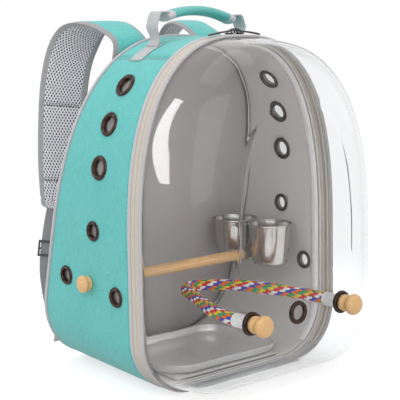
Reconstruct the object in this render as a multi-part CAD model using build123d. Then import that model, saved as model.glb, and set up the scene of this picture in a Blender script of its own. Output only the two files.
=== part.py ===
from build123d import *
import math
import os

# Bird travel carrier worn as a backpack, in millimetres. +Z is up and +X is to the right as seen
# from in front of the clear door. While modelling, y = 0 is the front rim of the fabric shell, the
# shell runs to +y and the zipped band and the clear dome run to -y. Every piece is moved forward by
# half the base's depth when it is written, so that the origin is the middle of the base.

# ---- overall sizes ----
WIDTH = 320.0  # across the two side panels
HEIGHT = 420.0  # ground to the top of the arch
SHOULDER_Z = 166.0  # where the straight sides turn into the arch
ARCH_POWER = 2.58  # exponent of the superellipse that the arch follows
FRONT_CORNER = 71.0  # bottom corner radius at the front rim
BACK_CORNER = 98.0  # bottom corner radius at the back
DEPTH_BOTTOM = 195.0  # shell depth at the ground
DEPTH_TOP = 93.5  # shell depth at the top: the back leans forward

# ---- soft skins ----
PANEL = 2.4  # melange cloth with its foam
LINING = 1.0  # grey inner cloth
LEVEL_CUT = 0.05  # taken off the base panel to level it
SKIN_GAP = 0.15  # between two skins that are sewn together
SEAM_X = 88.0  # seams between the top panel and the side panels
BACK_PANEL = 5.0  # padded cloth of the back
BACK_BOARD = 1.6  # stiffening sheet inside the back
PAD_THICK = 9.0  # air-mesh cushion on the back
PAD_INSET = 40.0  # of its outline from the back's edge
PIPING = 4.4  # depth of the piping round the back edge
FLOOR_BOARD = 1.5
FLOOR_MAT = 1.2

# ---- zipped band between shell and door, as distances in front of the rim ----
RIM_BINDING_END = 5.0
ZIP_SPLIT = 12.5  # where the two rows of teeth meet
TAPE_END = 20.0
DOOR_BINDING_END = 25.0
ZIP_END_Z = 14.0  # the zip stops at this height in both bottom corners
BINDING_OUT = 0.8  # bindings stand this far outside the panels
BINDING_IN = 2.6
TAPE_OUT = 0.4  # the tape lies this far inside the panels' face
TAPE_IN = 1.8
TEETH_IN = 3.2
BAND_GAP = 0.1

# ---- clear dome ----
DOME_START = 21.0  # its flange begins here, under the door binding
DOME_REACH = 117.0  # its flat face lies this far in front of the rim
DOME_WALL = 2.0
DOME_ROUND = 50.0  # rounding between its sides and its face
DOME_FLANGE_IN = 2.9  # inset of the flange from the panels' face
DOME_SIDE_IN = 6.0  # inset of the sides at the face
DOME_TOP_IN = 24.0  # inset of the roof at the face
DOME_FLOOR_LIFT = 14.0  # height of its underside at the face
DOME_CORNER = 68.0
WINDOW_RAISE = 2.6  # the big window stands proud of the lower band
WINDOW_DRAFT = 2.6  # its edge slopes this far inwards
WINDOW_LOW_Z = 126.0
WINDOW_IN = -7.0  # inside the dome's flat face; it reaches over the start of the rounding
WINDOW_CORNER = 18.0

# ---- fold under the door ----
FLAP_END = 33.0  # distance of the door's fold in front of the rim
FLAP_THICK = 2.4
FLAP_SIDE_GAP = 0.6
FLAP_HINGE_GAP = 1.8  # between the flap and the rim binding, so that it can fold up

# ---- eyelets ----
EYELET_BORE = 0.62  # share of the outer radius
EYELET_DOME = 2.0  # height of the rolled flange
EYELET_BARREL = 1.3  # wall of the barrel
BIG_EYELET = 15.0  # outer radius
SMALL_EYELET = 12.3
EYELET_LIFT = 0.25  # flange above the panel
EYELET_SAG = 1.05  # inner flange clear of the curved lining
MESH_DISC = 0.5
COLUMN_SHARE = 0.452  # of the shell's depth, where the upper eyelets stand
UPPER_EYELETS = [  # share of the way from the top of the arch down to the perch, and outer radius
    (0.1911, BIG_EYELET),
    (0.3447, BIG_EYELET),
    (0.5188, BIG_EYELET),
    (0.7782, SMALL_EYELET),
]
LOWER_EYELETS = [(25.0, 118.0), (126.0, 130.0)]  # y and z
DOOR_EYELET_Z = 97.0
DOOR_EYELET_X = 75.0
DOOR_EYELET = 14.0

# ---- wooden perch and its cups ----
PERCH_Z = 127.0
PERCH_R = 7.0
SCREW_R = 2.5
SCREW_DEEP = 18.0
KNOB_R = 10.6
KNOB_LONG = 13.0
FIT = 0.05  # running clearance on the screws
CUP_R = 29.5
CUP_BASE_R = 23.5
CUP_HIGH = 55.0
CUP_WALL = 1.0
CUP_ROLL = 1.3
CUP_ROUND = 6.0
CUP_BASE_Z = 115.0
CUP_WALL_GAP = 14.5  # between the cup's rim and the lining
CUP_SPACE = 4.5  # from each cup's rim to the middle of the bracket
CUP_PERCH_GAP = 2.5  # between the cups' feet and the perch
CUP_BACK_GAP = 11.4167  # from the rear cup's rim to the back's outer face
BRACKET_LEFT = 17.0  # from the cups' axis to the bracket's strip
BRACKET_WIDE = 11.0
BRACKET_THICK = 1.6
BRACKET_TOP = 44.0  # above the perch's axis
RAIL_HIGH = 12.0
RAIL_THICK = 1.6
RAIL_LONG = 33.0
RAIL_TOP = 33.0  # above the perch's axis
HOOK_WIDE = 8.0
HOOK_THICK = 1.0
HOOK_DEEP = 5.0
HOOK_GAP = 0.3
HOOK_FRONT = 7.0  # from the bracket's strip to the front cup's hook
HOOK_REAR = 27.0
WING_R = 10.0
WING_Z = 39.0  # above the perch's axis

# ---- tray ----
TRAY_HALF = 97.0
TRAY_SIDE = 5.0  # it stands this far off centre
TRAY_FRONT = 3.0
TRAY_DEEP = 146.0
TRAY_HIGH = 13.0
TRAY_WALL = 1.0
TRAY_CORNER = 38.0
TRAY_ROUND = 9.0
TRAY_LIP = 3.0
SEAT = 0.3  # between the floor's layers and the tray

# ---- rope perch ----
ROPE_R = 7.6
FERRULE_R = 8.5
FERRULE_LONG = 23.0
STUD_R = 2.5
ROPE_KNOB_COLLAR = 10.2
ROPE_KNOB_HEAD = 12.8
ROPE_KNOB_LONG = 24.0
ROPE_BENDS = [  # between the two ferrules; x, y, z
    (-74.6, -70, 97.4),
    (-69, -46, 98),
    (-60, -20, 99),
    (-47, 8, 100),
    (-33, 44, 100),
    (-18, 70, 99),
    (4, 73, 99),
    (24, 53, 100),
    (41, 24, 101),
    (55, -12, 100),
    (66, -44, 99),
    (74.5, -70, 97.5),
]

# ---- carry handle ----
HANDLE_Y = 56.0
HANDLE_HALF = 67.0  # from the middle to each neck
NECK_LIFT = 4.4  # of the necks' turning axis above the panel
NECK_R = 1.6
WEB_HALF = 11.0  # half the webbing's width
WEB_THICK = 2.6
PATCH_LONG = 32.0
GRIP_HALF = 54.0
GRIP_RISE = 37.0  # of the grip's middle above the arch
GRIP_DROP = 12.0  # of its ends below its middle
GRIP_THICK = 9.0
GRIP_HALF_WIDE = 13.0

# ---- shoulder straps ----
STRAP_THICK = 10.0
STRAP_TOP_X = 66.0  # from the middle to the strap's sewn end
STRAP_TOP_DROP = 8.0  # of that end below the top of the arch
STRAP_FOOT_IN = 34.0  # of the lower end from the carrier's side
STRAP_FOOT_Z = 53.0
STRAP_STATIONS = [  # shares of the way out and down to the foot, distance off the back, width, twist
    (0.0, 0.0, 11.1, 54.0, 0.0),
    (0.0, -0.039, 28.0, 56.0, 4.0),
    (0.033, -0.074, 59.0, 60.0, 12.0),
    (0.117, -0.072, 89.0, 62.0, 22.0),
    (0.217, -0.033, 113.5, 64.0, 31.0),
    (0.3, 0.045, 127.7, 64.0, 38.0),
    (0.35, 0.167, 128.0, 64.0, 40.0),
    (0.367, 0.312, 120.0, 62.0, 40.0),
    (0.383, 0.451, 108.0, 58.0, 40.0),
    (0.433, 0.568, 95.8, 50.0, 40.0),
]
WEBBING_WIDE = 25.0
WEBBING_THICK = 1.8
WEBBING_STATIONS = [
    (0.45, 0.58, 94.3, WEBBING_WIDE, 40.0),
    (0.633, 0.688, 84.4, WEBBING_WIDE, 38.0),
    (0.85, 0.819, 64.5, WEBBING_WIDE, 30.0),
    (0.967, 0.936, 36.4, WEBBING_WIDE, 20.0),
    (1.0, 1.0, 14.8, WEBBING_WIDE, 10.0),
]
ANCHOR_TAB = 26.0  # side of the sewn tab at each bottom corner
TAB_THICK = 2.0
TOP_TAB_WIDE = 14.0
TOP_TAB_LONG = 5.4
SOFT_GAP = 0.8  # between a swinging strap's end and the tab that holds it
ADJUSTER = (32.0, 22.0, 5.6)  # width, height, thickness
ADJUSTER_SLOT = 1.6  # more than the webbing's thickness

# ---- zip pulls ----
SLIDER_X = 9.0
SLIDER_LONG = 13.0
SLIDER_WIDE = 10.0
SLIDER_HIGH = 3.6
SLIDER_LIFT = 0.5  # above the arch, clear of the bindings
PULL_LONG = 36.0
PULL_WIDE = 6.0
PULL_THICK = 2.0
PULL_EYE = 2.4
PULL_PIN = 1.1
EAR_THICK = 1.4

INNER = PANEL + SKIN_GAP + LINING  # outer face to the lining's inner face


def back_y(z):
    """Distance of the leaning back behind the front rim at height z."""
    return DEPTH_BOTTOM - (DEPTH_BOTTOM - DEPTH_TOP) * z / HEIGHT


# of each cup's axis from the perch's axis, and of that axis behind the rim
CUP_OFFSET = max(CUP_R + CUP_SPACE, CUP_BASE_R + PERCH_R + CUP_PERCH_GAP)
PERCH_Y = back_y(CUP_BASE_Z + CUP_HIGH) - CUP_BACK_GAP - CUP_R - CUP_OFFSET


def arch_z(x, inset=0.0):
    """Height of the arch above a point x from the middle."""
    across = abs(x) / (WIDTH / 2 - inset)
    rise = HEIGHT - inset - SHOULDER_Z
    return SHOULDER_Z + rise * (1 - across**ARCH_POWER) ** (1 / ARCH_POWER)


def arch_x(z, inset=0.0):
    """Half width of the carrier at height z, above the bottom corners."""
    up = max(z - SHOULDER_Z, 0.0) / (HEIGHT - inset - SHOULDER_Z)
    return (WIDTH / 2 - inset) * (1 - up**ARCH_POWER) ** (1 / ARCH_POWER)


def arch_lean(z):
    """Angle of the side panel's outward normal above the horizontal at height z, in degrees."""
    half = WIDTH / 2
    rise = HEIGHT - SHOULDER_Z
    level = (arch_x(z) / half) ** (ARCH_POWER - 1) / half
    upward = (max(z - SHOULDER_Z, 0.0) / rise) ** (ARCH_POWER - 1) / rise
    return math.degrees(math.atan2(upward, level))


def outline(inset, depth, corner, top_in=None, lift=0.0):
    """Closed arch-shaped outline: `inset` inside the panels' face, `depth` giving y at each height."""
    half = WIDTH / 2 - inset
    top = HEIGHT - (inset if top_in is None else top_in)
    low = lift or max(inset, 0.0)  # nothing reaches below the ground
    radius = corner - inset
    diagonal = radius * math.sqrt(0.5)

    def at(x, z):
        return Vector(x, depth(z), z)

    def arch_point(turn):
        across = abs(math.cos(turn)) ** (2 / ARCH_POWER)
        up = math.sin(turn) ** (2 / ARCH_POWER)
        return at(math.copysign(half * across, math.cos(turn)), SHOULDER_Z + (top - SHOULDER_Z) * up)

    def corner_arc(side):
        centre_x = side * (half - radius)
        foot = at(centre_x, low)
        middle = at(centre_x + side * diagonal, low + radius - diagonal)
        return foot, middle, at(side * half, low + radius)

    right = corner_arc(1)
    left = corner_arc(-1)
    turns = [math.pi * step / 16 for step in range(1, 16)]
    shoulder_right = at(half, SHOULDER_Z)
    shoulder_left = at(-half, SHOULDER_Z)
    upright = (at(half, SHOULDER_Z) - at(half, low + radius)).normalized()
    crown = Spline(
        shoulder_right,
        *[arch_point(turn) for turn in turns],
        shoulder_left,
        tangents=[upright, -upright],
    )
    edges = [
        Line(left[0], right[0]),
        ThreePointArc(*right),
        Line(right[2], shoulder_right),
        crown,
        Line(shoulder_left, left[2]),
        ThreePointArc(left[2], left[1], left[0]),
    ]
    return Wire([piece.edge() for piece in edges])


def flat(y):
    """Depth function of an upright section at distance y behind the rim."""
    return lambda z: y


def leaning(offset):
    """Depth function of a section parallel to the leaning back."""
    return lambda z: back_y(z) + offset


def ring(out, inside, y_front, y_back, corner=FRONT_CORNER):
    """Upright band between two insets and two distances behind the rim."""
    outer = Solid.make_loft([outline(out, flat(y), corner) for y in (y_front, y_back)], ruled=True)
    inner = Solid.make_loft([outline(inside, flat(y), corner) for y in (y_front, y_back)], ruled=True)
    return outer - inner


def slanted(inset, front, back, corner_front, corner_back):
    """Solid between two sections with their own depth functions and corner radii."""
    sections = [outline(inset, front, corner_front), outline(inset, back, corner_back)]
    return Solid.make_loft(sections, ruled=True)


def block(x, y, z):
    """Box from three (low, high) pairs."""
    size = [high - low for low, high in (x, y, z)]
    middle = [(high + low) / 2 for low, high in (x, y, z)]
    return Pos(*middle) * Box(*size)


def rod(radius, start, end):
    """Cylinder between two points."""
    start = Vector(*start)
    axis = Vector(*end) - start
    return Solid.make_cylinder(radius, axis.length, Plane(origin=start, z_dir=axis))


def group(pieces):
    """Several separate solids held in one node."""
    return Compound([solid for piece in pieces for solid in piece.solids()])


def side_plane(z, y, side):
    """Plane on the side panel, z axis outwards."""
    lean = math.radians(arch_lean(z))
    outward = Vector(side * math.cos(lean), 0, math.sin(lean))
    return Plane(origin=(side * arch_x(z), y, z), x_dir=(0, 1, 0), z_dir=outward)


def eyelet(radius, wall, lift=EYELET_LIFT, sag=EYELET_SAG):
    """Two-flange eyelet along +Z. Its outer flange sits on z = 0 and its inner one under the wall."""
    bore = radius * EYELET_BORE
    barrel = bore + EYELET_BARREL
    low = -wall - sag

    def flange(z, direction):
        foot = (radius, 0, z)
        crest = ((radius + bore) / 2, 0, z + direction * EYELET_DOME)
        return ThreePointArc(foot, crest, (bore, 0, z))

    edges = [
        flange(lift, 1),
        Line((bore, 0, lift), (bore, 0, low)),
        flange(low, -1),
        Line((radius, 0, low), (barrel, 0, low)),
        Line((barrel, 0, low), (barrel, 0, lift)),
        Line((barrel, 0, lift), (radius, 0, lift)),
    ]
    return revolve(make_face([piece.edge() for piece in edges]), Axis.Z)


def strap_place(out, down, off, side):
    """Point of a strap's middle line: shares of the way from its top to its foot, and off the back."""
    foot_x = WIDTH / 2 - STRAP_FOOT_IN
    top_z = HEIGHT - STRAP_TOP_DROP
    x = STRAP_TOP_X + (foot_x - STRAP_TOP_X) * out
    z = top_z + (STRAP_FOOT_Z - top_z) * down
    return Vector(side * x, back_y(z) + off, z)


def across_strap(along, twist, side):
    """Direction of a strap's width, square to its run and twisted towards the front."""
    turn = math.radians(twist)
    across = Vector(side * math.cos(turn), math.sin(turn), 0)
    return (across - along * across.dot(along)).normalized()


def ribbon(places, widths, twists, thickness, side):
    """Padded or woven strip lofted through places, with a width and a twist at each."""
    sections = []
    for index, (place, width, twist) in enumerate(zip(places, widths, twists)):
        ahead = places[min(index + 1, len(places) - 1)]
        behind = places[max(index - 1, 0)]
        along = (ahead - behind).normalized()
        plane = Plane(origin=place, x_dir=across_strap(along, twist, side), z_dir=along)
        sections.append((plane * Rectangle(width, thickness)).wire())
    return Solid.make_loft(sections, ruled=True)


def mirrored(piece):
    """The same piece on the other side of the carrier."""
    return mirror(piece, Plane.YZ)


# ---- shell ----
rim = flat(0.0)
shell_wall = slanted(0, rim, leaning(0), FRONT_CORNER, BACK_CORNER) - slanted(
    PANEL, rim, leaning(0), FRONT_CORNER, BACK_CORNER
)
LINING_OUT = PANEL + SKIN_GAP
lining_back = leaning(-BACK_PANEL - BACK_BOARD - 1)
lining = slanted(LINING_OUT, rim, lining_back, FRONT_CORNER, BACK_CORNER)
lining -= slanted(INNER, rim, lining_back, FRONT_CORNER, BACK_CORNER)
BIG = 2 * HEIGHT  # larger than the carrier, for cutting boxes
FLAT_HALF = WIDTH / 2 - FRONT_CORNER  # half width of the flat underside at the front
top_zone = block((-SEAM_X, SEAM_X), (-BIG, BIG), (SHOULDER_Z, BIG))
base_zone = block((-FLAT_HALF, FLAT_HALF), (-BIG, BIG), (-BIG, SHOULDER_Z))
left_zone = block((-BIG, 0), (-BIG, BIG), (-BIG, BIG)) - top_zone - base_zone
right_zone = block((0, BIG), (-BIG, BIG), (-BIG, BIG)) - top_zone - base_zone

eyelet_places = []
for share, radius in UPPER_EYELETS:
    z = HEIGHT - share * (HEIGHT - PERCH_Z)
    eyelet_places.append((z, back_y(z) * COLUMN_SHARE, radius))
eyelet_places += [(z, y, SMALL_EYELET) for y, z in LOWER_EYELETS]
barrel_clear = 0.2
eyelets = {-1: [], 1: []}
screens = {-1: [], 1: []}
for side in (-1, 1):
    for z, y, radius in eyelet_places:
        plane = side_plane(z, y, side)
        barrel = radius * EYELET_BORE + EYELET_BARREL + barrel_clear
        hole = plane * Pos(0, 0, -INNER / 2) * Cylinder(barrel, 4 * INNER)
        shell_wall -= hole
        lining -= hole
        eyelets[side].append(plane.location * eyelet(radius, INNER))
        disc = Cylinder(radius * EYELET_BORE - 2 * FIT, MESH_DISC)
        screens[side].append(plane * Pos(0, 0, -INNER) * disc)
    screw_hole = rod(SCREW_R + barrel_clear, (0, PERCH_Y, PERCH_Z), (side * WIDTH, PERCH_Y, PERCH_Z))
    shell_wall -= screw_hole
    lining -= screw_hole

BACK_IN = PANEL + 0.6  # inset of the back's layers
back_layers = slanted(BACK_IN, leaning(-BACK_PANEL), leaning(0), BACK_CORNER, BACK_CORNER)
board = slanted(
    BACK_IN,
    leaning(-BACK_PANEL - SKIN_GAP - BACK_BOARD),
    leaning(-BACK_PANEL - SKIN_GAP),
    BACK_CORNER,
    BACK_CORNER,
)
LINING_FRONT = -BACK_PANEL - BACK_BOARD - 2 * SKIN_GAP - LINING
back_lining = slanted(
    INNER + 0.6, leaning(LINING_FRONT), leaning(LINING_FRONT + LINING), BACK_CORNER, BACK_CORNER
)
# the side lining stops where the back lining's sheet begins
lining -= slanted(-1, leaning(LINING_FRONT + LINING - 0.05), leaning(20), BACK_CORNER, BACK_CORNER)
pad = slanted(PAD_INSET, leaning(SEAT), leaning(SEAT + PAD_THICK), BACK_CORNER, BACK_CORNER)
piping = slanted(-2.4, leaning(FIT), leaning(PIPING), BACK_CORNER, BACK_CORNER) - slanted(
    3.0, leaning(FIT), leaning(PIPING), BACK_CORNER, BACK_CORNER
)

FLOOR_TOP = INNER + FLOOR_BOARD + FLOOR_MAT + 2 * SEAT
floor_front = FLAT_HALF
floor_back = WIDTH / 2 - BACK_CORNER + 4
floor_depth = DEPTH_BOTTOM - BACK_PANEL - BACK_BOARD - LINING - 6


def floor_sheet(z, thickness, trim):
    """Flat sheet that narrows towards the back, as the base does."""
    corners = [
        (floor_front - trim, TRAY_FRONT),
        (floor_back - trim, floor_depth - trim),
        (trim - floor_back, floor_depth - trim),
        (trim - floor_front, TRAY_FRONT),
    ]
    sheet = extrude(make_face(Polyline(*corners, close=True).edges()), thickness)
    return Pos(0, 0, z) * fillet(sheet.edges().filter_by(Axis.Z), 12)


floor_board = floor_sheet(INNER + SEAT / 2, FLOOR_BOARD, 0)
floor_mat = floor_sheet(INNER + SEAT + FLOOR_BOARD, FLOOR_MAT, 2)

# ---- bands of the zip ----
rim_binding = ring(-BINDING_OUT, BINDING_IN, -RIM_BINDING_END, -BAND_GAP)
above_zip_end = block((-BIG, BIG), (-BIG, BIG), (ZIP_END_Z, BIG))
shell_tape = ring(TAPE_OUT, TAPE_IN, -ZIP_SPLIT + BAND_GAP, -RIM_BINDING_END - BAND_GAP) & above_zip_end
shell_teeth = ring(TAPE_IN + BAND_GAP, TEETH_IN, -ZIP_SPLIT + BAND_GAP, -ZIP_SPLIT + 2) & above_zip_end
above_gusset = block((-BIG, BIG), (-BIG, BIG), (ZIP_END_Z + BAND_GAP, BIG))
door_tape = ring(TAPE_OUT, TAPE_IN, -TAPE_END, -ZIP_SPLIT - BAND_GAP) & above_gusset
door_teeth = ring(TAPE_IN + BAND_GAP, TEETH_IN - 0.4, -ZIP_SPLIT - 2, -ZIP_SPLIT - BAND_GAP) & above_gusset
door_binding = ring(-BINDING_OUT, BINDING_IN, -DOOR_BINDING_END, -TAPE_END - BAND_GAP) & above_gusset
gusset_zone = block((-BIG, -FLAT_HALF), (-BIG, BIG), (-BIG, ZIP_END_Z - BAND_GAP)) + block(
    (FLAT_HALF, BIG), (-BIG, BIG), (-BIG, ZIP_END_Z - BAND_GAP)
)
gusset = ring(0, BINDING_IN, -DOOR_BINDING_END, -RIM_BINDING_END - BAND_GAP) & gusset_zone

flap = block(
    (FLAP_SIDE_GAP - FLAT_HALF, FLAT_HALF - FLAP_SIDE_GAP),
    (-FLAP_END + 0.3, -RIM_BINDING_END - FLAP_HINGE_GAP),
    (0, FLAP_THICK),
)

# ---- clear dome and what it carries ----


def dome_solid(wall):
    """Filled dome, `wall` inside its outer face."""
    rounding = DOME_ROUND - wall
    face = DOME_REACH - wall
    straight = face - rounding
    sections = []

    def section(distance, extra):
        share = max(distance - DOME_START, 0) / (DOME_REACH - DOME_START)
        side = DOME_FLANGE_IN + (DOME_SIDE_IN - DOME_FLANGE_IN) * share + wall + extra
        roof = DOME_FLANGE_IN + (DOME_TOP_IN - DOME_FLANGE_IN) * share**2 + wall + extra
        floor = DOME_FLANGE_IN + (DOME_FLOOR_LIFT - DOME_FLANGE_IN) * share + wall + extra
        corner = DOME_CORNER - 0.35 * extra + side - wall - extra
        return outline(side, flat(-distance), corner, roof, floor)

    for part in range(3):
        sections.append(section(DOME_START + (straight - DOME_START) * part / 3, 0))
    for step in range(7):
        turn = math.radians(15 * step)
        sections.append(section(straight + rounding * math.sin(turn), rounding * (1 - math.cos(turn))))
    return Solid.make_loft(sections, ruled=False)


def window(reach, wall):
    """Slab of the big window's outline up to `reach` in front of the rim, `wall` inside its outer face."""
    side = DOME_SIDE_IN + DOME_ROUND + WINDOW_IN + wall
    roof = DOME_TOP_IN + DOME_ROUND + WINDOW_IN + wall
    foot = -DOME_REACH + 2 * wall
    sections = []
    for distance, extra in ((foot, 0), (-DOME_REACH, 0), (-reach, WINDOW_DRAFT)):
        corner = WINDOW_CORNER + side - wall
        sections.append(
            outline(side + extra, flat(distance), corner, roof + extra, WINDOW_LOW_Z + wall + extra)
        )
    return Solid.make_loft(sections[-2:] if wall == 0 else sections, ruled=True)


dome = dome_solid(0) + window(DOME_REACH + WINDOW_RAISE, 0)
dome -= dome_solid(DOME_WALL)
dome -= window(DOME_REACH + WINDOW_RAISE - DOME_WALL, DOME_WALL)

door_eyelets = []
door_plane_x = (-DOOR_EYELET_X, 0.0, DOOR_EYELET_X)
for x in door_plane_x:
    plane = Plane(origin=(x, -DOME_REACH, DOOR_EYELET_Z), x_dir=(1, 0, 0), z_dir=(0, -1, 0))
    barrel = DOOR_EYELET * EYELET_BORE + EYELET_BARREL + barrel_clear
    dome -= plane * Cylinder(barrel, 20)
    door_eyelets.append(plane.location * eyelet(DOOR_EYELET, DOME_WALL, sag=0.1))
door_screen = Pos(0, -DOME_REACH + DOME_WALL / 2, DOOR_EYELET_Z) * Rot(90, 0, 0)
door_screen = door_screen * Cylinder(DOOR_EYELET * EYELET_BORE - 2 * FIT, MESH_DISC)

FERRULE_FRONT = -DOME_REACH + DOME_WALL + EYELET_DOME + 0.6
FERRULE_BACK = FERRULE_FRONT + FERRULE_LONG
KNOB_SEAT = -DOME_REACH - EYELET_DOME - 0.3
rope_start = (-DOOR_EYELET_X, FERRULE_BACK + SEAT, DOOR_EYELET_Z)
rope_end = (DOOR_EYELET_X, FERRULE_BACK + SEAT, DOOR_EYELET_Z)
route = [Vector(*point) for point in (rope_start, *ROPE_BENDS, rope_end)]


def bend_radii(points):
    """Radius at each inner point: as large as its two runs allow."""
    radii = []
    for before, here, after in zip(points, points[1:], points[2:]):
        arriving = here - before
        leaving = after - here
        shorter = min(arriving.length, leaving.length)
        turn = math.radians(arriving.get_angle(leaving))
        radii.append(0.45 * shorter / math.tan(turn / 2))
    return radii


radii = bend_radii(route)
rope_line = FilletPolyline(*route, radius=radii)
rope_path = Wire(rope_line.edges())
rope_plane = Plane(origin=route[0], z_dir=route[1] - route[0])
rope = sweep(rope_plane * Circle(ROPE_R), path=rope_path)
print("rope bend radii", [round(radius, 1) for radius in radii])
print("rope length", round(rope_path.length, 1))
swept_volume = math.pi * ROPE_R**2 * rope_path.length
print("rope volume", round(rope.volume), "section times length", round(swept_volume))

ferrules = []
studs = []
for x in (-DOOR_EYELET_X, DOOR_EYELET_X):
    ferrule = rod(FERRULE_R, (x, FERRULE_FRONT, DOOR_EYELET_Z), (x, FERRULE_BACK - FIT, DOOR_EYELET_Z))
    ferrule = fillet(ferrule.edges().filter_by(GeomType.CIRCLE), 0.8)
    socket = rod(STUD_R + FIT, (x, FERRULE_FRONT - 1, DOOR_EYELET_Z), (x, FERRULE_FRONT + 14, DOOR_EYELET_Z))
    ferrules.append(ferrule - socket)
    studs.append(
        rod(
            STUD_R,
            (x, KNOB_SEAT - ROPE_KNOB_LONG + 8, DOOR_EYELET_Z),
            (x, FERRULE_FRONT + 13, DOOR_EYELET_Z),
        )
    )


def turned_knob(collar, head, length, bore_deep, bore):
    """Wooden bobbin knob along +Z: a collar, a waist and a domed head, bored from behind."""
    waist = collar * 0.78
    collar_end = length * 0.24
    waist_end = length * 0.46
    cap_half = head - 3.0
    cap_high = head / 8
    shoulder = length - cap_high
    cap_r = (cap_half**2 + cap_high**2) / (2 * cap_high)
    half_turn = math.asin(cap_half / cap_r) / 2
    cap_middle = (cap_r * math.sin(half_turn), 0, length - cap_r * (1 - math.cos(half_turn)))
    edges = [
        Line((0, 0, 0), (collar - 1, 0, 0)),
        ThreePointArc((collar - 1, 0, 0), (collar, 0, collar_end / 2), (collar - 1, 0, collar_end)),
        ThreePointArc(
            (collar - 1, 0, collar_end),
            (waist, 0, (collar_end + waist_end) / 2),
            (collar - 0.4, 0, waist_end),
        ),
        ThreePointArc((collar - 0.4, 0, waist_end), (head, 0, length * 0.68), (cap_half, 0, shoulder)),
        ThreePointArc((cap_half, 0, shoulder), cap_middle, (0, 0, length)),
        Line((0, 0, length), (0, 0, 0)),
    ]
    body = revolve(make_face([piece.edge() for piece in edges]), Axis.Z)
    return body - Pos(0, 0, bore_deep / 2 - 1) * Cylinder(bore, bore_deep + 2)


rope_knobs = {}
for name, x in (("left", -DOOR_EYELET_X), ("right", DOOR_EYELET_X)):
    plane = Plane(origin=(x, KNOB_SEAT, DOOR_EYELET_Z), x_dir=(1, 0, 0), z_dir=(0, -1, 0))
    knob = turned_knob(ROPE_KNOB_COLLAR, ROPE_KNOB_HEAD, ROPE_KNOB_LONG, ROPE_KNOB_LONG - 7, STUD_R + FIT)
    rope_knobs[name] = plane.location * knob

# ---- wooden perch, its knobs, and the cups ----
perch_half = WIDTH / 2 - INNER - SEAT
perch = rod(PERCH_R, (-perch_half, PERCH_Y, PERCH_Z), (perch_half, PERCH_Y, PERCH_Z))
perch = fillet(perch.edges().filter_by(GeomType.CIRCLE), 1)
perch_screws = []
perch_knobs = {}
for name, side in (("left", -1), ("right", 1)):
    outer = WIDTH / 2 + KNOB_LONG - 4
    inner = perch_half - SCREW_DEEP
    screw_end = (side * (inner - 1), PERCH_Y, PERCH_Z)
    perch -= rod(SCREW_R + FIT, (side * perch_half, PERCH_Y, PERCH_Z), screw_end)
    perch_screws.append(rod(SCREW_R, (side * inner, PERCH_Y, PERCH_Z), (side * outer, PERCH_Y, PERCH_Z)))
    plane = Plane(origin=(side * (WIDTH / 2 + SEAT), PERCH_Y, PERCH_Z), x_dir=(0, 1, 0), z_dir=(side, 0, 0))
    knob = turned_knob(KNOB_R - 1.5, KNOB_R, KNOB_LONG, KNOB_LONG - 3.5, SCREW_R + FIT)
    perch_knobs[name] = plane.location * knob

CUP_X = WIDTH / 2 - INNER - CUP_WALL_GAP - CUP_R
CUP_TOP_Z = CUP_BASE_Z + CUP_HIGH
RAIL_TOP_Z = PERCH_Z + RAIL_TOP
STRIP_X = CUP_X - BRACKET_LEFT


def cup(y, toward, hook_x):
    """Tapered steel cup with a rolled rim and a hook on the side `toward` the perch."""
    slope = (CUP_R - CUP_BASE_R) / CUP_HIGH
    outer_edges = [
        Line((0, 0, 0), (CUP_BASE_R - CUP_ROUND, 0, 0)),
        ThreePointArc(
            (CUP_BASE_R - CUP_ROUND, 0, 0),
            (CUP_BASE_R - CUP_ROUND * 0.28, 0, CUP_ROUND * 0.3),
            (CUP_BASE_R + slope * CUP_ROUND, 0, CUP_ROUND),
        ),
        Line((CUP_BASE_R + slope * CUP_ROUND, 0, CUP_ROUND), (CUP_R, 0, CUP_HIGH)),
        Line((CUP_R, 0, CUP_HIGH), (0, 0, CUP_HIGH)),
        Line((0, 0, CUP_HIGH), (0, 0, 0)),
    ]
    hull = revolve(make_face([piece.edge() for piece in outer_edges]), Axis.Z)
    bore_low = CUP_BASE_R - CUP_WALL
    bore_high = CUP_R - CUP_WALL
    hollow = Pos(0, 0, CUP_WALL) * Solid.make_cone(bore_low, bore_high + slope, CUP_HIGH, Plane.XY)
    hollow = fillet(hollow.edges().filter_by(GeomType.CIRCLE).sort_by(Axis.Z)[0], CUP_ROUND - CUP_WALL)
    body = hull - hollow
    body += Pos(0, 0, CUP_HIGH) * Torus(CUP_R, CUP_ROLL)
    body = Pos(CUP_X, y, CUP_BASE_Z) * body
    mid_wall = Solid.make_cone(CUP_BASE_R - CUP_WALL / 2, CUP_R - CUP_WALL / 2, CUP_HIGH, Plane.XY)
    lip = PERCH_Y + toward * (RAIL_THICK / 2 + HOOK_GAP + HOOK_THICK)
    low_y, high_y = sorted((y, lip))
    span = (hook_x - HOOK_WIDE / 2, hook_x + HOOK_WIDE / 2)
    bridge = block(span, (low_y, high_y), (RAIL_TOP_Z + HOOK_GAP, RAIL_TOP_Z + HOOK_GAP + HOOK_THICK))
    bridge -= Pos(CUP_X, y, CUP_BASE_Z) * mid_wall
    lip_low, lip_high = sorted((lip, lip - toward * HOOK_THICK))
    drop = block(span, (lip_low, lip_high), (RAIL_TOP_Z - HOOK_DEEP, RAIL_TOP_Z + HOOK_GAP + HOOK_THICK))
    return body + bridge + drop


cup_front = cup(PERCH_Y - CUP_OFFSET, 1, STRIP_X + HOOK_FRONT)
cup_rear = cup(PERCH_Y + CUP_OFFSET, -1, STRIP_X + HOOK_REAR)

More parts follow.
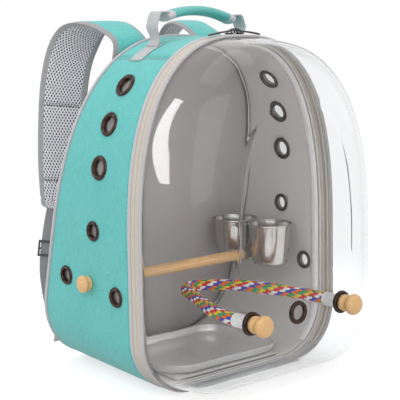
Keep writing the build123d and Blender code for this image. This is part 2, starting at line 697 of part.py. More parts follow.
clamp_r = PERCH_R + FIT
clamp = rod(clamp_r + 2.4, (STRIP_X - 5, PERCH_Y, PERCH_Z), (STRIP_X + 5, PERCH_Y, PERCH_Z))
clamp -= rod(clamp_r, (STRIP_X - 6, PERCH_Y, PERCH_Z), (STRIP_X + 6, PERCH_Y, PERCH_Z))
strip = block(
    (STRIP_X - BRACKET_THICK / 2, STRIP_X + BRACKET_THICK / 2),
    (PERCH_Y - BRACKET_WIDE / 2, PERCH_Y + BRACKET_WIDE / 2),
    (PERCH_Z + clamp_r + 1, PERCH_Z + BRACKET_TOP),
)
strip = fillet(strip.edges().filter_by(Axis.X).group_by(Axis.Z)[-1], 4)
rail_bar = block(
    (STRIP_X, STRIP_X + RAIL_LONG),
    (PERCH_Y - RAIL_THICK / 2, PERCH_Y + RAIL_THICK / 2),
    (RAIL_TOP_Z - RAIL_HIGH, RAIL_TOP_Z),
)
bolt_z = PERCH_Z + WING_Z
bolt = rod(2.4, (STRIP_X - 11, PERCH_Y, bolt_z), (STRIP_X + 3, PERCH_Y, bolt_z))
bracket = clamp + strip + rail_bar + bolt
wing_x = STRIP_X - BRACKET_THICK / 2 - 0.3
hub = rod(4.4, (wing_x - 5, PERCH_Y, bolt_z), (wing_x, PERCH_Y, bolt_z))
wings = Pos(wing_x - 5, PERCH_Y, bolt_z) * Box(4, 2 * WING_R, 2.4)
wings = fillet(wings.edges().filter_by(Axis.Z), 1)
wing_nut = hub + wings - rod(2.4 + FIT, (wing_x - 20, PERCH_Y, bolt_z), (wing_x + 5, PERCH_Y, bolt_z))

# ---- tray ----
tray_middle = (TRAY_SIDE, TRAY_FRONT + TRAY_DEEP / 2)
TRAY_Z = FLOOR_TOP + SEAT


def tray_block(trim, z, height, rounding):
    """Rounded slab of the tray's outline, `trim` inside it, with a rounded lower edge."""
    plan = RectangleRounded(2 * (TRAY_HALF - trim), TRAY_DEEP - 2 * trim, TRAY_CORNER - trim)
    slab = Pos(*tray_middle, z) * extrude(plan, height)
    if rounding > 0:
        slab = fillet(slab.edges().group_by(Axis.Z)[0], rounding)
    return slab


tray = tray_block(TRAY_LIP, TRAY_Z, TRAY_HIGH, TRAY_ROUND)
tray += tray_block(0, TRAY_Z + TRAY_HIGH - TRAY_WALL, TRAY_WALL, 0)
tray -= tray_block(TRAY_LIP + TRAY_WALL, TRAY_Z + TRAY_WALL, TRAY_HIGH, TRAY_ROUND - TRAY_WALL)

# ---- carry handle ----
neck_z = arch_z(HANDLE_HALF) + NECK_LIFT
patch_zone = block(
    (HANDLE_HALF - 3, HANDLE_HALF - 3 + PATCH_LONG),
    (HANDLE_Y - WEB_HALF, HANDLE_Y + WEB_HALF),
    (SHOULDER_Z, BIG),
)
patch = ring(-1.5, -0.1, HANDLE_Y - WEB_HALF, HANDLE_Y + WEB_HALF) & patch_zone
handle_patches = group([patch, mirrored(patch)])
GRIP_MID_Z = HEIGHT + GRIP_RISE
grip_end_z = GRIP_MID_Z - GRIP_DROP
grip_arc = ThreePointArc(
    (-GRIP_HALF, HANDLE_Y, grip_end_z), (0, HANDLE_Y, GRIP_MID_Z), (GRIP_HALF, HANDLE_Y, grip_end_z)
)
grip_section = Plane(origin=grip_arc @ 0, x_dir=(0, 1, 0), z_dir=grip_arc % 0)
grip_shape = grip_section * RectangleRounded(2 * GRIP_HALF_WIDE, GRIP_THICK, 4)
grip = sweep(grip_shape, path=Wire([grip_arc.edge()]))

# neck, swell and fold of one end, each as x, z and half width
loop_line = [
    (HANDLE_HALF, neck_z + 0.5, 3.0),
    (HANDLE_HALF + 0.5, neck_z + 7, WEB_HALF),
    (HANDLE_HALF + 5, neck_z + 17, WEB_HALF),
    (HANDLE_HALF + 3.5, neck_z + 28, WEB_HALF),
    (HANDLE_HALF - 4, grip_end_z + 0.5, WEB_HALF),
    (GRIP_HALF + 1.6, grip_end_z + 0.2, WEB_HALF),
]
loop_places = [Vector(x, HANDLE_Y, z) for x, z, _ in loop_line]
loop_sections = []
for index, (_, _, half_wide) in enumerate(loop_line):
    ahead = loop_places[min(index + 1, len(loop_places) - 1)]
    behind = loop_places[max(index - 1, 0)]
    plane = Plane(origin=loop_places[index], x_dir=(0, 1, 0), z_dir=ahead - behind)
    loop_sections.append((plane * Rectangle(2 * half_wide, WEB_THICK)).wire())
handle_loop = Solid.make_loft(loop_sections, ruled=True)
neck_pin = rod(NECK_R, (HANDLE_HALF - 2.2, HANDLE_Y, neck_z), (HANDLE_HALF + 2.2, HANDLE_Y, neck_z))
handle_loop += neck_pin
handle_web = group([handle_loop, mirrored(handle_loop)])

# ---- shoulder straps ----
straps = {}
top_tabs = []
for name, side in (("left", -1), ("right", 1)):
    pad_places = [strap_place(*station[:3], side) for station in STRAP_STATIONS]
    webbing_places = [strap_place(*station[:3], side) for station in WEBBING_STATIONS]
    pad_width, pad_twist = zip(*[station[3:] for station in STRAP_STATIONS])
    web_width, web_twist = zip(*[station[3:] for station in WEBBING_STATIONS])
    run = webbing_places[2] - webbing_places[1]
    along = run.normalized()
    twist = (web_twist[1] + web_twist[2]) / 2
    plane = Plane(
        origin=webbing_places[1] + run * 0.5, x_dir=across_strap(along, twist, side), z_dir=along
    )
    buckle = Box(ADJUSTER[0], ADJUSTER[2], ADJUSTER[1])
    buckle -= Box(WEBBING_WIDE + 2, WEBBING_THICK + ADJUSTER_SLOT, ADJUSTER[1] + 2)
    straps[name] = {
        "pad": ribbon(pad_places, pad_width, pad_twist, STRAP_THICK, side),
        "webbing": ribbon(webbing_places, web_width, web_twist, WEBBING_THICK, side),
        "adjuster": plane.location * buckle,
    }
    sewn = (pad_places[1] - pad_places[0]).normalized()
    tab_ends = [pad_places[0] - sewn * (SOFT_GAP + TOP_TAB_LONG), pad_places[0] - sewn * SOFT_GAP]
    top_tabs.append(ribbon(tab_ends, [TOP_TAB_WIDE] * 2, [0, 0], TAB_THICK, side))

foot_x = WIDTH / 2 - STRAP_FOOT_IN
tab_sheet = slanted(
    PANEL, leaning(PIPING + 0.1), leaning(PIPING + 0.1 + TAB_THICK), BACK_CORNER, BACK_CORNER
)
tab_zone = block(
    (foot_x - ANCHOR_TAB / 2, foot_x + ANCHOR_TAB / 2),
    (0, BIG),
    (STRAP_FOOT_Z - ANCHOR_TAB, STRAP_FOOT_Z + 2),
)
bottom_tab = tab_sheet & tab_zone
tabs = [bottom_tab, mirrored(bottom_tab)]

# ---- zip pulls ----
sliders = {}
pulls = {}
across_zip = (-ZIP_SPLIT - SLIDER_WIDE / 2, -ZIP_SPLIT + SLIDER_WIDE / 2)
pull_span = (-ZIP_SPLIT - PULL_WIDE / 2, -ZIP_SPLIT + PULL_WIDE / 2)
slider_low = arch_z(SLIDER_X - SLIDER_LONG / 2) + SLIDER_LIFT
slider_top = slider_low + SLIDER_HIGH
pin_z = slider_top + PULL_EYE + SEAT
for name, side in (("left", -1), ("right", 1)):
    ends = sorted((side * (SLIDER_X - SLIDER_LONG / 2), side * (SLIDER_X + SLIDER_LONG / 2)))
    body = fillet(block(ends, across_zip, (slider_low, slider_top)).edges().filter_by(Axis.Z), 2.5)
    pin_x = side * (SLIDER_X - SLIDER_LONG / 2 + PULL_EYE)
    ear_span = (pin_x - PULL_PIN - 1, pin_x + PULL_PIN + 1)
    ears = block(ear_span, across_zip, (slider_top - 1, pin_z + PULL_PIN + 0.8))
    slot = (across_zip[0] + EAR_THICK, across_zip[1] - EAR_THICK)
    ears -= block((pin_x - 5, pin_x + 5), slot, (slider_top, BIG))
    pin = rod(PULL_PIN, (pin_x, slot[0] - 1, pin_z), (pin_x, slot[1] + 1, pin_z))
    sliders[name] = body + ears + pin
    eye = rod(PULL_EYE, (pin_x, pull_span[0], pin_z), (pin_x, pull_span[1], pin_z))
    reach = sorted((pin_x + side * PULL_PIN, pin_x + side * PULL_LONG))
    tongue = block(reach, pull_span, (pin_z - PULL_THICK / 2, pin_z + PULL_THICK / 2))
    tip = tongue.edges().filter_by(Axis.Z).group_by(Axis.X)[-1 if side > 0 else 0]
    tongue = fillet(tip, PULL_WIDE / 2 - 0.2)
    bore = rod(PULL_PIN + FIT, (pin_x, across_zip[0], pin_z), (pin_x, across_zip[1], pin_z))
    pulls[name] = eye + tongue - bore

# its outside is drawn a hair low and cut level, so that the underside is one flat face
low_front = outline(0, rim, FRONT_CORNER, lift=-LEVEL_CUT)
low_back = outline(0, leaning(0), BACK_CORNER, lift=-LEVEL_CUT)
base_panel = Solid.make_loft([low_front, low_back], ruled=True)
base_panel -= slanted(PANEL, rim, leaning(0), FRONT_CORNER, BACK_CORNER)
base_panel = base_panel & base_zone & block((-BIG, BIG), (-BIG, BIG), (0, BIG))

nodes = {
    "side_panel_left": shell_wall & left_zone,
    "side_panel_right": shell_wall & right_zone,
    "top_panel": shell_wall & top_zone,
    "base_panel": base_panel,
    "side_lining": lining,
    "back_panel": back_layers,
    "back_board": board,
    "back_lining": back_lining,
    "back_pad": pad,
    "back_piping": piping,
    "rim_binding": rim_binding,
    "zip_tape_shell": shell_tape,
    "zip_teeth_shell": shell_teeth,
    "corner_gussets": gusset,
    "floor_board": floor_board,
    "floor_mat": floor_mat,
    "side_eyelets_left": group(eyelets[-1]),
    "side_eyelets_right": group(eyelets[1]),
    "side_screens": group(screens[-1] + screens[1]),
    "perch_dowel": perch,
    "perch_screws": group(perch_screws),
    "perch_knob_left": perch_knobs["left"],
    "perch_knob_right": perch_knobs["right"],
    "cup_bracket": bracket,
    "wing_nut": wing_nut,
    "cup_front": cup_front,
    "cup_rear": cup_rear,
    "tray": tray,
    "door_fold": flap,
    "dome": dome,
    "door_binding": door_binding,
    "zip_tape_door": door_tape,
    "zip_teeth_door": door_teeth,
    "door_eyelets": group(door_eyelets),
    "door_screen": door_screen,
    "rope_perch": rope,
    "rope_ferrules": group(ferrules),
    "rope_studs": group(studs),
    "rope_knob_left": rope_knobs["left"],
    "rope_knob_right": rope_knobs["right"],
    "handle_patches": handle_patches,
    "handle_webbing": handle_web,
    "handle_grip": grip,
    "strap_pad_left": straps["left"]["pad"],
    "strap_pad_right": straps["right"]["pad"],
    "strap_webbing_left": straps["left"]["webbing"],
    "strap_webbing_right": straps["right"]["webbing"],
    "strap_adjuster_left": straps["left"]["adjuster"],
    "strap_adjuster_right": straps["right"]["adjuster"],
    "strap_bottom_tabs": group(tabs),
    "strap_top_tabs": group(top_tabs),
    "zip_slider_left": sliders["left"],
    "zip_slider_right": sliders["right"],
    "zip_pull_left": pulls["left"],
    "zip_pull_right": pulls["right"],
}

os.makedirs("parts", exist_ok=True)
to_origin = Pos(0, -DEPTH_BOTTOM / 2, 0)
for name, piece in nodes.items():
    export_step(to_origin * piece, f"parts/{name}.step")
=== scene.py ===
"""Bird travel carrier: cloth shell, clear door, perches, cups, tray, handle and shoulder straps."""

import logging
import math
from collections.abc import Callable, Iterable, Sequence
from dataclasses import dataclass, field
from enum import Enum
from functools import reduce
from itertools import accumulate

import bmesh
import bpy
from mathutils import Matrix, Quaternion, Vector, noise

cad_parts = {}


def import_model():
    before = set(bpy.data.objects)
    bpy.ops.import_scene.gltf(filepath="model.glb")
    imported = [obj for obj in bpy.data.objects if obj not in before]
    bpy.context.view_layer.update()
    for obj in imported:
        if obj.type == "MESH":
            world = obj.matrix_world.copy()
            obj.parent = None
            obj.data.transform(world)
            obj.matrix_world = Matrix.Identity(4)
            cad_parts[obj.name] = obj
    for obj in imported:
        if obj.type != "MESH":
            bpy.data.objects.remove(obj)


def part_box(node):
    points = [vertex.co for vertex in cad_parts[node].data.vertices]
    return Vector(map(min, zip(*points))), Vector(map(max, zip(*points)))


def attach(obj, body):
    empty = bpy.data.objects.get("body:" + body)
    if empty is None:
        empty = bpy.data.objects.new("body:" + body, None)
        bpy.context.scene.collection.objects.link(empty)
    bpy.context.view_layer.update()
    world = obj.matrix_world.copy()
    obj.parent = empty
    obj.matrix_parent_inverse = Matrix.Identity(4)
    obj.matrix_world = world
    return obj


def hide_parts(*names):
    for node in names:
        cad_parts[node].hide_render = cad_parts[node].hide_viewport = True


log = logging.getLogger("carrier")
MM = 0.001
RIM_Y = -97.5 * MM  # the shell's front rim
HANDLE_Y = RIM_Y + 56 * MM  # where the carry handle crosses the crown
Point = tuple[float, float]
Colour = tuple[float, float, float]


class Side(Enum):
    """The two sides of the carrier, as seen from in front of the clear door."""

    LEFT = -1
    RIGHT = 1

    @property
    def word(self) -> str:
        """The side's name as it ends a piece's name."""
        return self.name.lower()


# ---- shader graph ----


class Wire:
    """A shader socket that takes part in arithmetic."""

    def __init__(self, graph: "Graph", socket: bpy.types.NodeSocket) -> None:
        """Keeps the graph and the socket."""
        self.graph = graph
        self.socket = socket

    def math(self, operation: str, *values: "Wire | float") -> "Wire":
        """The result of a Math node on some values."""
        return self.graph.add("ShaderNodeMath", {"operation": operation}, dict(enumerate(values)))

    def __add__(self, other: "Wire | float") -> "Wire":
        """Sum."""
        return self.math("ADD", self, other)

    __radd__ = __add__

    def __mul__(self, other: "Wire | float") -> "Wire":
        """Product."""
        return self.math("MULTIPLY", self, other)

    __rmul__ = __mul__

    def __sub__(self, other: "Wire | float") -> "Wire":
        """Difference."""
        return self.math("SUBTRACT", self, other)

    def __rsub__(self, other: float) -> "Wire":
        """Difference from a number."""
        return self.math("SUBTRACT", other, self)

    def __truediv__(self, other: "Wire | float") -> "Wire":
        """Quotient."""
        return self.math("DIVIDE", self, other)

    def __pow__(self, other: float) -> "Wire":
        """Power."""
        return self.math("POWER", self, other)

    def __abs__(self) -> "Wire":
        """Size without sign."""
        return self.math("ABSOLUTE", self)

    def sin(self) -> "Wire":
        """Sine of an angle in radians."""
        return self.math("SINE", self)

    def cos(self) -> "Wire":
        """Cosine of an angle in radians."""
        return self.math("COSINE", self)

    def part(self) -> "Wire":
        """What is left above the whole number."""
        return self.math("FRACT", self)

    def limit(self) -> "Wire":
        """Kept between nought and one."""
        return self.graph.add("ShaderNodeClamp", {}, {"Value": self})

    def ribs(self, pitch: float) -> "Wire":
        """Even swells between nought and one at a pitch."""
        return (self * (math.tau / pitch)).sin() * 0.5 + 0.5


class Graph:
    """The nodes of a material or of the world."""

    def __init__(self, tree: bpy.types.NodeTree, output: str) -> None:
        """Keeps the tree and finds its output's surface."""
        self.nodes, self.links = tree.nodes, tree.links
        self.surface = tree.nodes[output].inputs["Surface"]

    def add(self, kind: str, settings: dict, inputs: dict, result: int | str = 0) -> Wire:
        """Adds one node.

        Args:
            kind: the node's type.
            settings: its own properties, set before its sockets.
            inputs: values or wires by socket name or number.
            result: the output to return.

        Returns:
            The chosen output.
        """
        node = self.nodes.new(kind)
        for key, value in settings.items():
            setattr(node, key, value)
        for key, value in inputs.items():
            self.feed(node.inputs[key], value)
        return Wire(self, node.outputs[result])

    def feed(self, socket: bpy.types.NodeSocket, value: Wire | float | tuple) -> None:
        """Links a wire to a socket, or writes a value into it.

        Args:
            socket: what is fed.
            value: a wire, or a number, vector or colour.
        """
        if isinstance(value, Wire):
            self.links.new(value.socket, socket)
        else:
            socket.default_value = (*value, 1.0) if socket.type == "RGBA" and len(value) == 3 else value

    def split(self, vector: Wire) -> list[Wire]:
        """The three parts of a vector."""
        first = self.add("ShaderNodeSeparateXYZ", {}, {"Vector": vector})
        return [Wire(self, output) for output in first.socket.node.outputs]

    def place(self, uv: bool = False) -> Wire:
        """The point on the piece: its own map in metres, or its place in space."""
        return self.add("ShaderNodeTexCoord", {}, {}, "UV" if uv else "Object")

    def ray(self, *kinds: str) -> Wire:
        """One for rays of the first kind or of any of the others, otherwise nought."""
        first, *others = (self.add("ShaderNodeLightPath", {}, {}, f"Is {kind} Ray") for kind in kinds)
        return reduce(lambda seen, other: seen.math("MAXIMUM", seen, other), others, first)

    def stretched(self, vector: Wire, scale: Sequence[float]) -> Wire:
        """A vector scaled by a Mapping node."""
        return self.add("ShaderNodeMapping", {}, {"Vector": vector, "Scale": scale})

    def grain(self, vector: Wire, scale: float, detail: float = 3.0, rough: float = 0.5) -> Wire:
        """Cloudy noise between nought and one."""
        values = {"Vector": vector, "Scale": scale, "Detail": detail, "Roughness": rough}
        return self.add("ShaderNodeTexNoise", {}, values)

    def woven(self, uv: Wire, thread: float) -> Wire:
        """The crossing threads of a plain weave, between -1 and 1."""
        across, along, _ = self.split(uv)
        return (across * (math.tau / thread)).sin() * (along * (math.tau / thread)).sin()

    def blend(self, factor: Wire, low: Wire | Colour, high: Wire | Colour) -> Wire:
        """A colour between two colours."""
        return self.add("ShaderNodeMix", {"data_type": "RGBA"}, {0: factor, 6: low, 7: high}, 2)


class Surface(Graph):
    """A material under construction, around one Principled shader."""

    def __init__(self, name: str) -> None:
        """Makes the material and its shader.

        Args:
            name: the material's name.
        """
        self.material = bpy.data.materials.new(name)
        self.material.use_nodes = True
        super().__init__(self.material.node_tree, "Material Output")
        self.shader = self.nodes["Principled BSDF"]

    def bump(self, height: Wire, strength: float, distance: float) -> None:
        """Feeds a height to the shader's normal."""
        values = {"Height": height, "Strength": strength, "Distance": distance}
        self.feed(self.shader.inputs["Normal"], self.add("ShaderNodeBump", {}, values))

    def set(self, **sockets: Wire | float | tuple) -> None:
        """Feeds the shader's sockets, named with underscores for spaces."""
        for key, value in sockets.items():
            self.feed(self.shader.inputs[key.replace("_", " ")], value)


# ---- finishes ----


def shaded(colour: Colour, share: float) -> Colour:
    """A colour lighter or darker by a share, up to full."""
    return tuple(min(value * share, 1.0) for value in colour)


@dataclass(frozen=True)
class Finish:
    """A named finish; each kind paints its own pattern."""

    name: str

    def paint(self, surface: Surface) -> None:
        """Feeds the shader."""
        raise NotImplementedError

    def material(self) -> bpy.types.Material:
        """Builds the finish.

        Returns:
            The material.
        """
        surface = Surface(self.name)
        self.paint(surface)
        return surface.material


@dataclass(frozen=True)
class Melange(Finish):
    """Heathered cloth: two-tone threads with slubs that run along the warp and the weft."""

    dark: Colour
    light: Colour
    fleck: Colour
    thread: float = 0.55 * MM
    depth: float = 0.12 * MM

    def paint(self, surface: Surface) -> None:
        """Paints long slubs both ways over a cloudy ground, with pale flecks.

        Args:
            surface: the material to feed.
        """
        uv = surface.place(uv=True)
        slub = 0.9 / self.thread
        warp = surface.grain(surface.stretched(uv, (1.0, 0.07, 1.0)), slub, 2.0)
        weft = surface.grain(surface.stretched(uv, (0.07, 1.0, 1.0)), slub, 2.0)
        cloudy = surface.grain(uv, 26.0, 2.0)
        heather = ((warp + weft) * 0.5 - 0.5) * 2.6 + 0.5 + (cloudy - 0.5) * 0.35
        shade = surface.blend(heather.limit(), self.dark, self.light)
        flecks = (warp - 0.66) * 6.0
        surface.set(Base_Color=surface.blend(flecks.limit(), shade, self.fleck), Roughness=0.86)
        surface.set(Sheen_Weight=0.25, Sheen_Roughness=0.45)
        surface.bump(surface.woven(uv, self.thread) * 0.5 + heather, 0.35, self.depth)


@dataclass(frozen=True)
class PlainCloth(Finish):
    """Fine plain-woven cloth with a soft, slightly uneven face."""

    colour: Colour
    uneven: float = 0.12
    thread: float = 0.4 * MM
    rough: float = 0.8
    weave: float = 0.3

    def paint(self, surface: Surface) -> None:
        """Paints a fine weave over cloudy shading.

        Args:
            surface: the material to feed.
        """
        uv = surface.place(uv=True)
        weave = surface.woven(uv, self.thread)
        cloudy = surface.grain(uv, 18.0, 4.0)
        dark, light = shaded(self.colour, 1 - self.uneven), shaded(self.colour, 1 + self.uneven)
        tone = (cloudy - 0.5) * 1.6 + 0.5 + weave * 0.12
        surface.set(Base_Color=surface.blend(tone.limit(), dark, light), Roughness=self.rough)
        surface.set(Sheen_Weight=0.15, Sheen_Roughness=0.5)
        surface.bump(weave * 0.4 + cloudy * 2.0, self.weave, 0.15 * MM)


@dataclass(frozen=True)
class Ribbed(Finish):
    """Grosgrain ribbon or webbing: ribs across its run, which is the map's first direction."""

    colour: Colour
    rib: float = 0.9 * MM
    depth: float = 0.18 * MM
    shade: float = 0.78

    def paint(self, surface: Surface) -> None:
        """Paints ribs, crossing yarn and a little wear.

        Args:
            surface: the material to feed.
        """
        uv = surface.place(uv=True)
        along, across, _ = surface.split(uv)
        rib, yarn = along.ribs(self.rib), across.ribs(0.5 * MM)
        tone = rib * 0.55 + yarn * 0.2 + surface.grain(uv, 40.0, 3.0) * 0.45
        colour = surface.blend(tone.limit(), shaded(self.colour, self.shade), self.colour)
        surface.set(Base_Color=colour, Roughness=0.78, Sheen_Weight=0.2, Sheen_Roughness=0.4)
        surface.bump(rib + yarn * 0.3, 0.5, self.depth)


@dataclass(frozen=True)
class Twill(Finish):
    """Zip tape: fine herringbone of diagonal threads."""

    colour: Colour
    thread: float = 0.6 * MM
    bone: float = 2.4 * MM

    def paint(self, surface: Surface) -> None:
        """Paints diagonals that turn back at each bone.

        Args:
            surface: the material to feed.
        """
        uv = surface.place(uv=True)
        along, across, _ = surface.split(uv)
        fold = abs((across / self.bone).part() - 0.5) * (2 * self.bone)
        slope = (along + fold).ribs(self.thread)
        tone = slope * 0.6 + surface.grain(uv, 60.0, 3.0) * 0.5
        colour = surface.blend(tone.limit(), shaded(self.colour, 0.8), self.colour)
        surface.set(Base_Color=colour, Roughness=0.85)
        surface.bump(slope, 0.4, 0.12 * MM)


@dataclass(frozen=True)
class AirMesh(Finish):
    """Knitted spacer mesh: rows of small oval holes between pale ribs."""

    rib: Colour
    # Colour in the holes: the layer below, darkened as painted shade in the hollows.
    hole: Colour
    column: float = 2.05 * MM
    row: float = 7.4 * MM
    mapped: bool = True

    def paint(self, surface: Surface) -> None:
        """Paints dark holes where columns and rows cross, and knitted ribs between them; the holes' dark
        colour is the layer below with painted shade in the hollows.

        Args:
            surface: the material to feed.
        """
        uv = surface.place(uv=self.mapped)
        along, across = surface.split(uv)[:2] if self.mapped else surface.split(uv)[::-2]
        columns = (across * (math.tau / 2 / self.column)).cos()
        rows = (along * (math.tau / self.row)).cos()
        holes = ((columns * rows - 0.22) * 4.5).limit()
        yarn = along.ribs(0.55 * MM)
        worn = surface.grain(uv, 50.0, 3.0)
        rib = surface.blend((yarn * 0.4 + worn * 0.6).limit(), shaded(self.rib, 0.78), self.rib)
        surface.set(Base_Color=surface.blend(holes, rib, self.hole), Roughness=0.8)
        surface.set(Sheen_Weight=0.15, Sheen_Roughness=0.5)
        surface.bump(1.0 - holes + yarn * 0.1, 0.7, 0.5 * MM)


@dataclass(frozen=True)
class Screen(Finish):
    """Stiff woven screen in an eyelet: a square net with open holes."""

    colour: Colour
    pitch: float = 1.1 * MM

    def paint(self, surface: Surface) -> None:
        """Paints two sets of wires and lets light through between them.

        Args:
            surface: the material to feed.
        """
        spot = surface.place()
        x, y, z = surface.split(spot)
        turn = math.tau / 2 / self.pitch
        upright, level = (((0.3 - abs((way * turn).sin())) * 9.0).limit() for way in (z, x + y))
        wires = (upright + level).limit()
        shade = surface.blend(surface.grain(spot, 800.0, 2.0), shaded(self.colour, 0.7), self.colour)
        surface.set(Base_Color=shade, Roughness=0.6, Alpha=wires * 0.8 + 0.04)
        surface.bump(wires, 0.6, 0.2 * MM)


@dataclass(frozen=True)
class Metal(Finish):
    """Polished or plated metal with faint smears and turning lines."""

    colour: Colour
    rough: float = 0.16
    smear: float = 0.1
    lines: Sequence[float] = (1.0, 1.0, 1.0)
    coat: float = 0.0
    metallic: float = 1.0

    def paint(self, surface: Surface) -> None:
        """Paints smears that dull the polish, and fine lines.

        Args:
            surface: the material to feed.
        """
        spot = surface.place()
        smears = surface.grain(spot, 55.0, 4.0, 0.6)
        brushed = surface.grain(surface.stretched(spot, self.lines), 900.0, 2.0)
        colour = surface.blend(smears, shaded(self.colour, 0.82), self.colour)
        rough = smears * self.smear + brushed * 0.05 + (self.rough - self.smear / 2)
        surface.set(Base_Color=colour, Metallic=self.metallic, Roughness=rough)
        surface.set(Coat_Weight=self.coat, Coat_Roughness=0.1)
        surface.bump(brushed, 0.06, 0.05 * MM)


@dataclass(frozen=True)
class Wood(Finish):
    """Turned pale wood: growth rings cut along their length, fine pores and a waxed face."""

    light: Colour
    dark: Colour
    grain: Sequence[float]
    centre: Sequence[float] = (0, 0, 0)
    ring: float = 2.6 * MM

    def paint(self, surface: Surface) -> None:
        """Paints wandering rings and pores.

        Args:
            surface: the material to feed.
        """
        values = {"Vector": surface.place(), "Location": self.centre, "Scale": self.grain}
        shifted = surface.add("ShaderNodeMapping", {}, values)
        kind = {"wave_type": "RINGS", "rings_direction": "SPHERICAL", "wave_profile": "SAW"}
        values = {"Vector": shifted, "Scale": 0.32 / self.ring, "Distortion": 3.0}
        values |= {"Detail": 2.0, "Detail Scale": 1.4}
        bands = surface.add("ShaderNodeTexWave", kind, values, "Fac")
        pores = surface.grain(shifted, 1600.0, 2.0)
        tone = bands * 0.55 + surface.grain(shifted, 90.0, 3.0) * 0.35 + pores * 0.25
        surface.set(Base_Color=surface.blend(tone.limit(), self.dark, self.light))
        surface.set(Roughness=0.42 + pores * 0.2, Coat_Weight=0.15, Coat_Roughness=0.3)
        surface.bump(pores + bands * 0.4, 0.12, 0.1 * MM)


@dataclass(frozen=True)
class Plastic(Finish):
    """Moulded plastic with a faint ripple and a little handling wear."""

    colour: Colour
    rough: float = 0.35
    coat: float = 0.0

    def paint(self, surface: Surface) -> None:
        """Paints broad wear and a fine ripple.

        Args:
            surface: the material to feed.
        """
        spot = surface.place()
        fine, broad = surface.grain(spot, 700.0, 2.0), surface.grain(spot, 60.0, 3.0)
        surface.set(Base_Color=surface.blend(broad, shaded(self.colour, 0.85), self.colour))
        surface.set(Roughness=self.rough + (broad - 0.5) * 0.15, Coat_Weight=self.coat, Coat_Roughness=0.15)
        surface.bump(fine, 0.2, 0.05 * MM)


@dataclass(frozen=True)
class ClearSheet(Finish):
    """Clear moulded sheet with a faint ripple from its mould."""

    tint: Colour = (0.96, 0.968, 0.972)
    index: float = 1.28

    def paint(self, surface: Surface) -> None:
        """Lets light through, bent a little by the ripple."""
        surface.set(Base_Color=self.tint, Roughness=0.0, IOR=self.index, Transmission_Weight=1.0)
        surface.bump(surface.grain(surface.place(), 14.0, 1.0), 0.08, 0.4 * MM)


@dataclass(frozen=True)
class Yarn(Finish):
    """Twisted cotton yarn of one colour."""

    colour: Colour

    def paint(self, surface: Surface) -> None:
        """Paints the twist and its fuzz.

        Args:
            surface: the material to feed.
        """
        along, around, _ = surface.split(surface.place(uv=True))
        twist = ((along * 900.0) + around * 5.0).sin() * 0.5 + 0.5
        fuzz = surface.grain(surface.place(), 900.0, 3.0)
        tone = (twist * 0.6 + fuzz * 0.5).limit()
        surface.set(Base_Color=surface.blend(tone, shaded(self.colour, 0.78), self.colour), Roughness=0.85)
        surface.set(Sheen_Weight=0.06, Sheen_Roughness=0.4)
        surface.bump(twist + fuzz * 0.5, 0.5, 0.15 * MM)


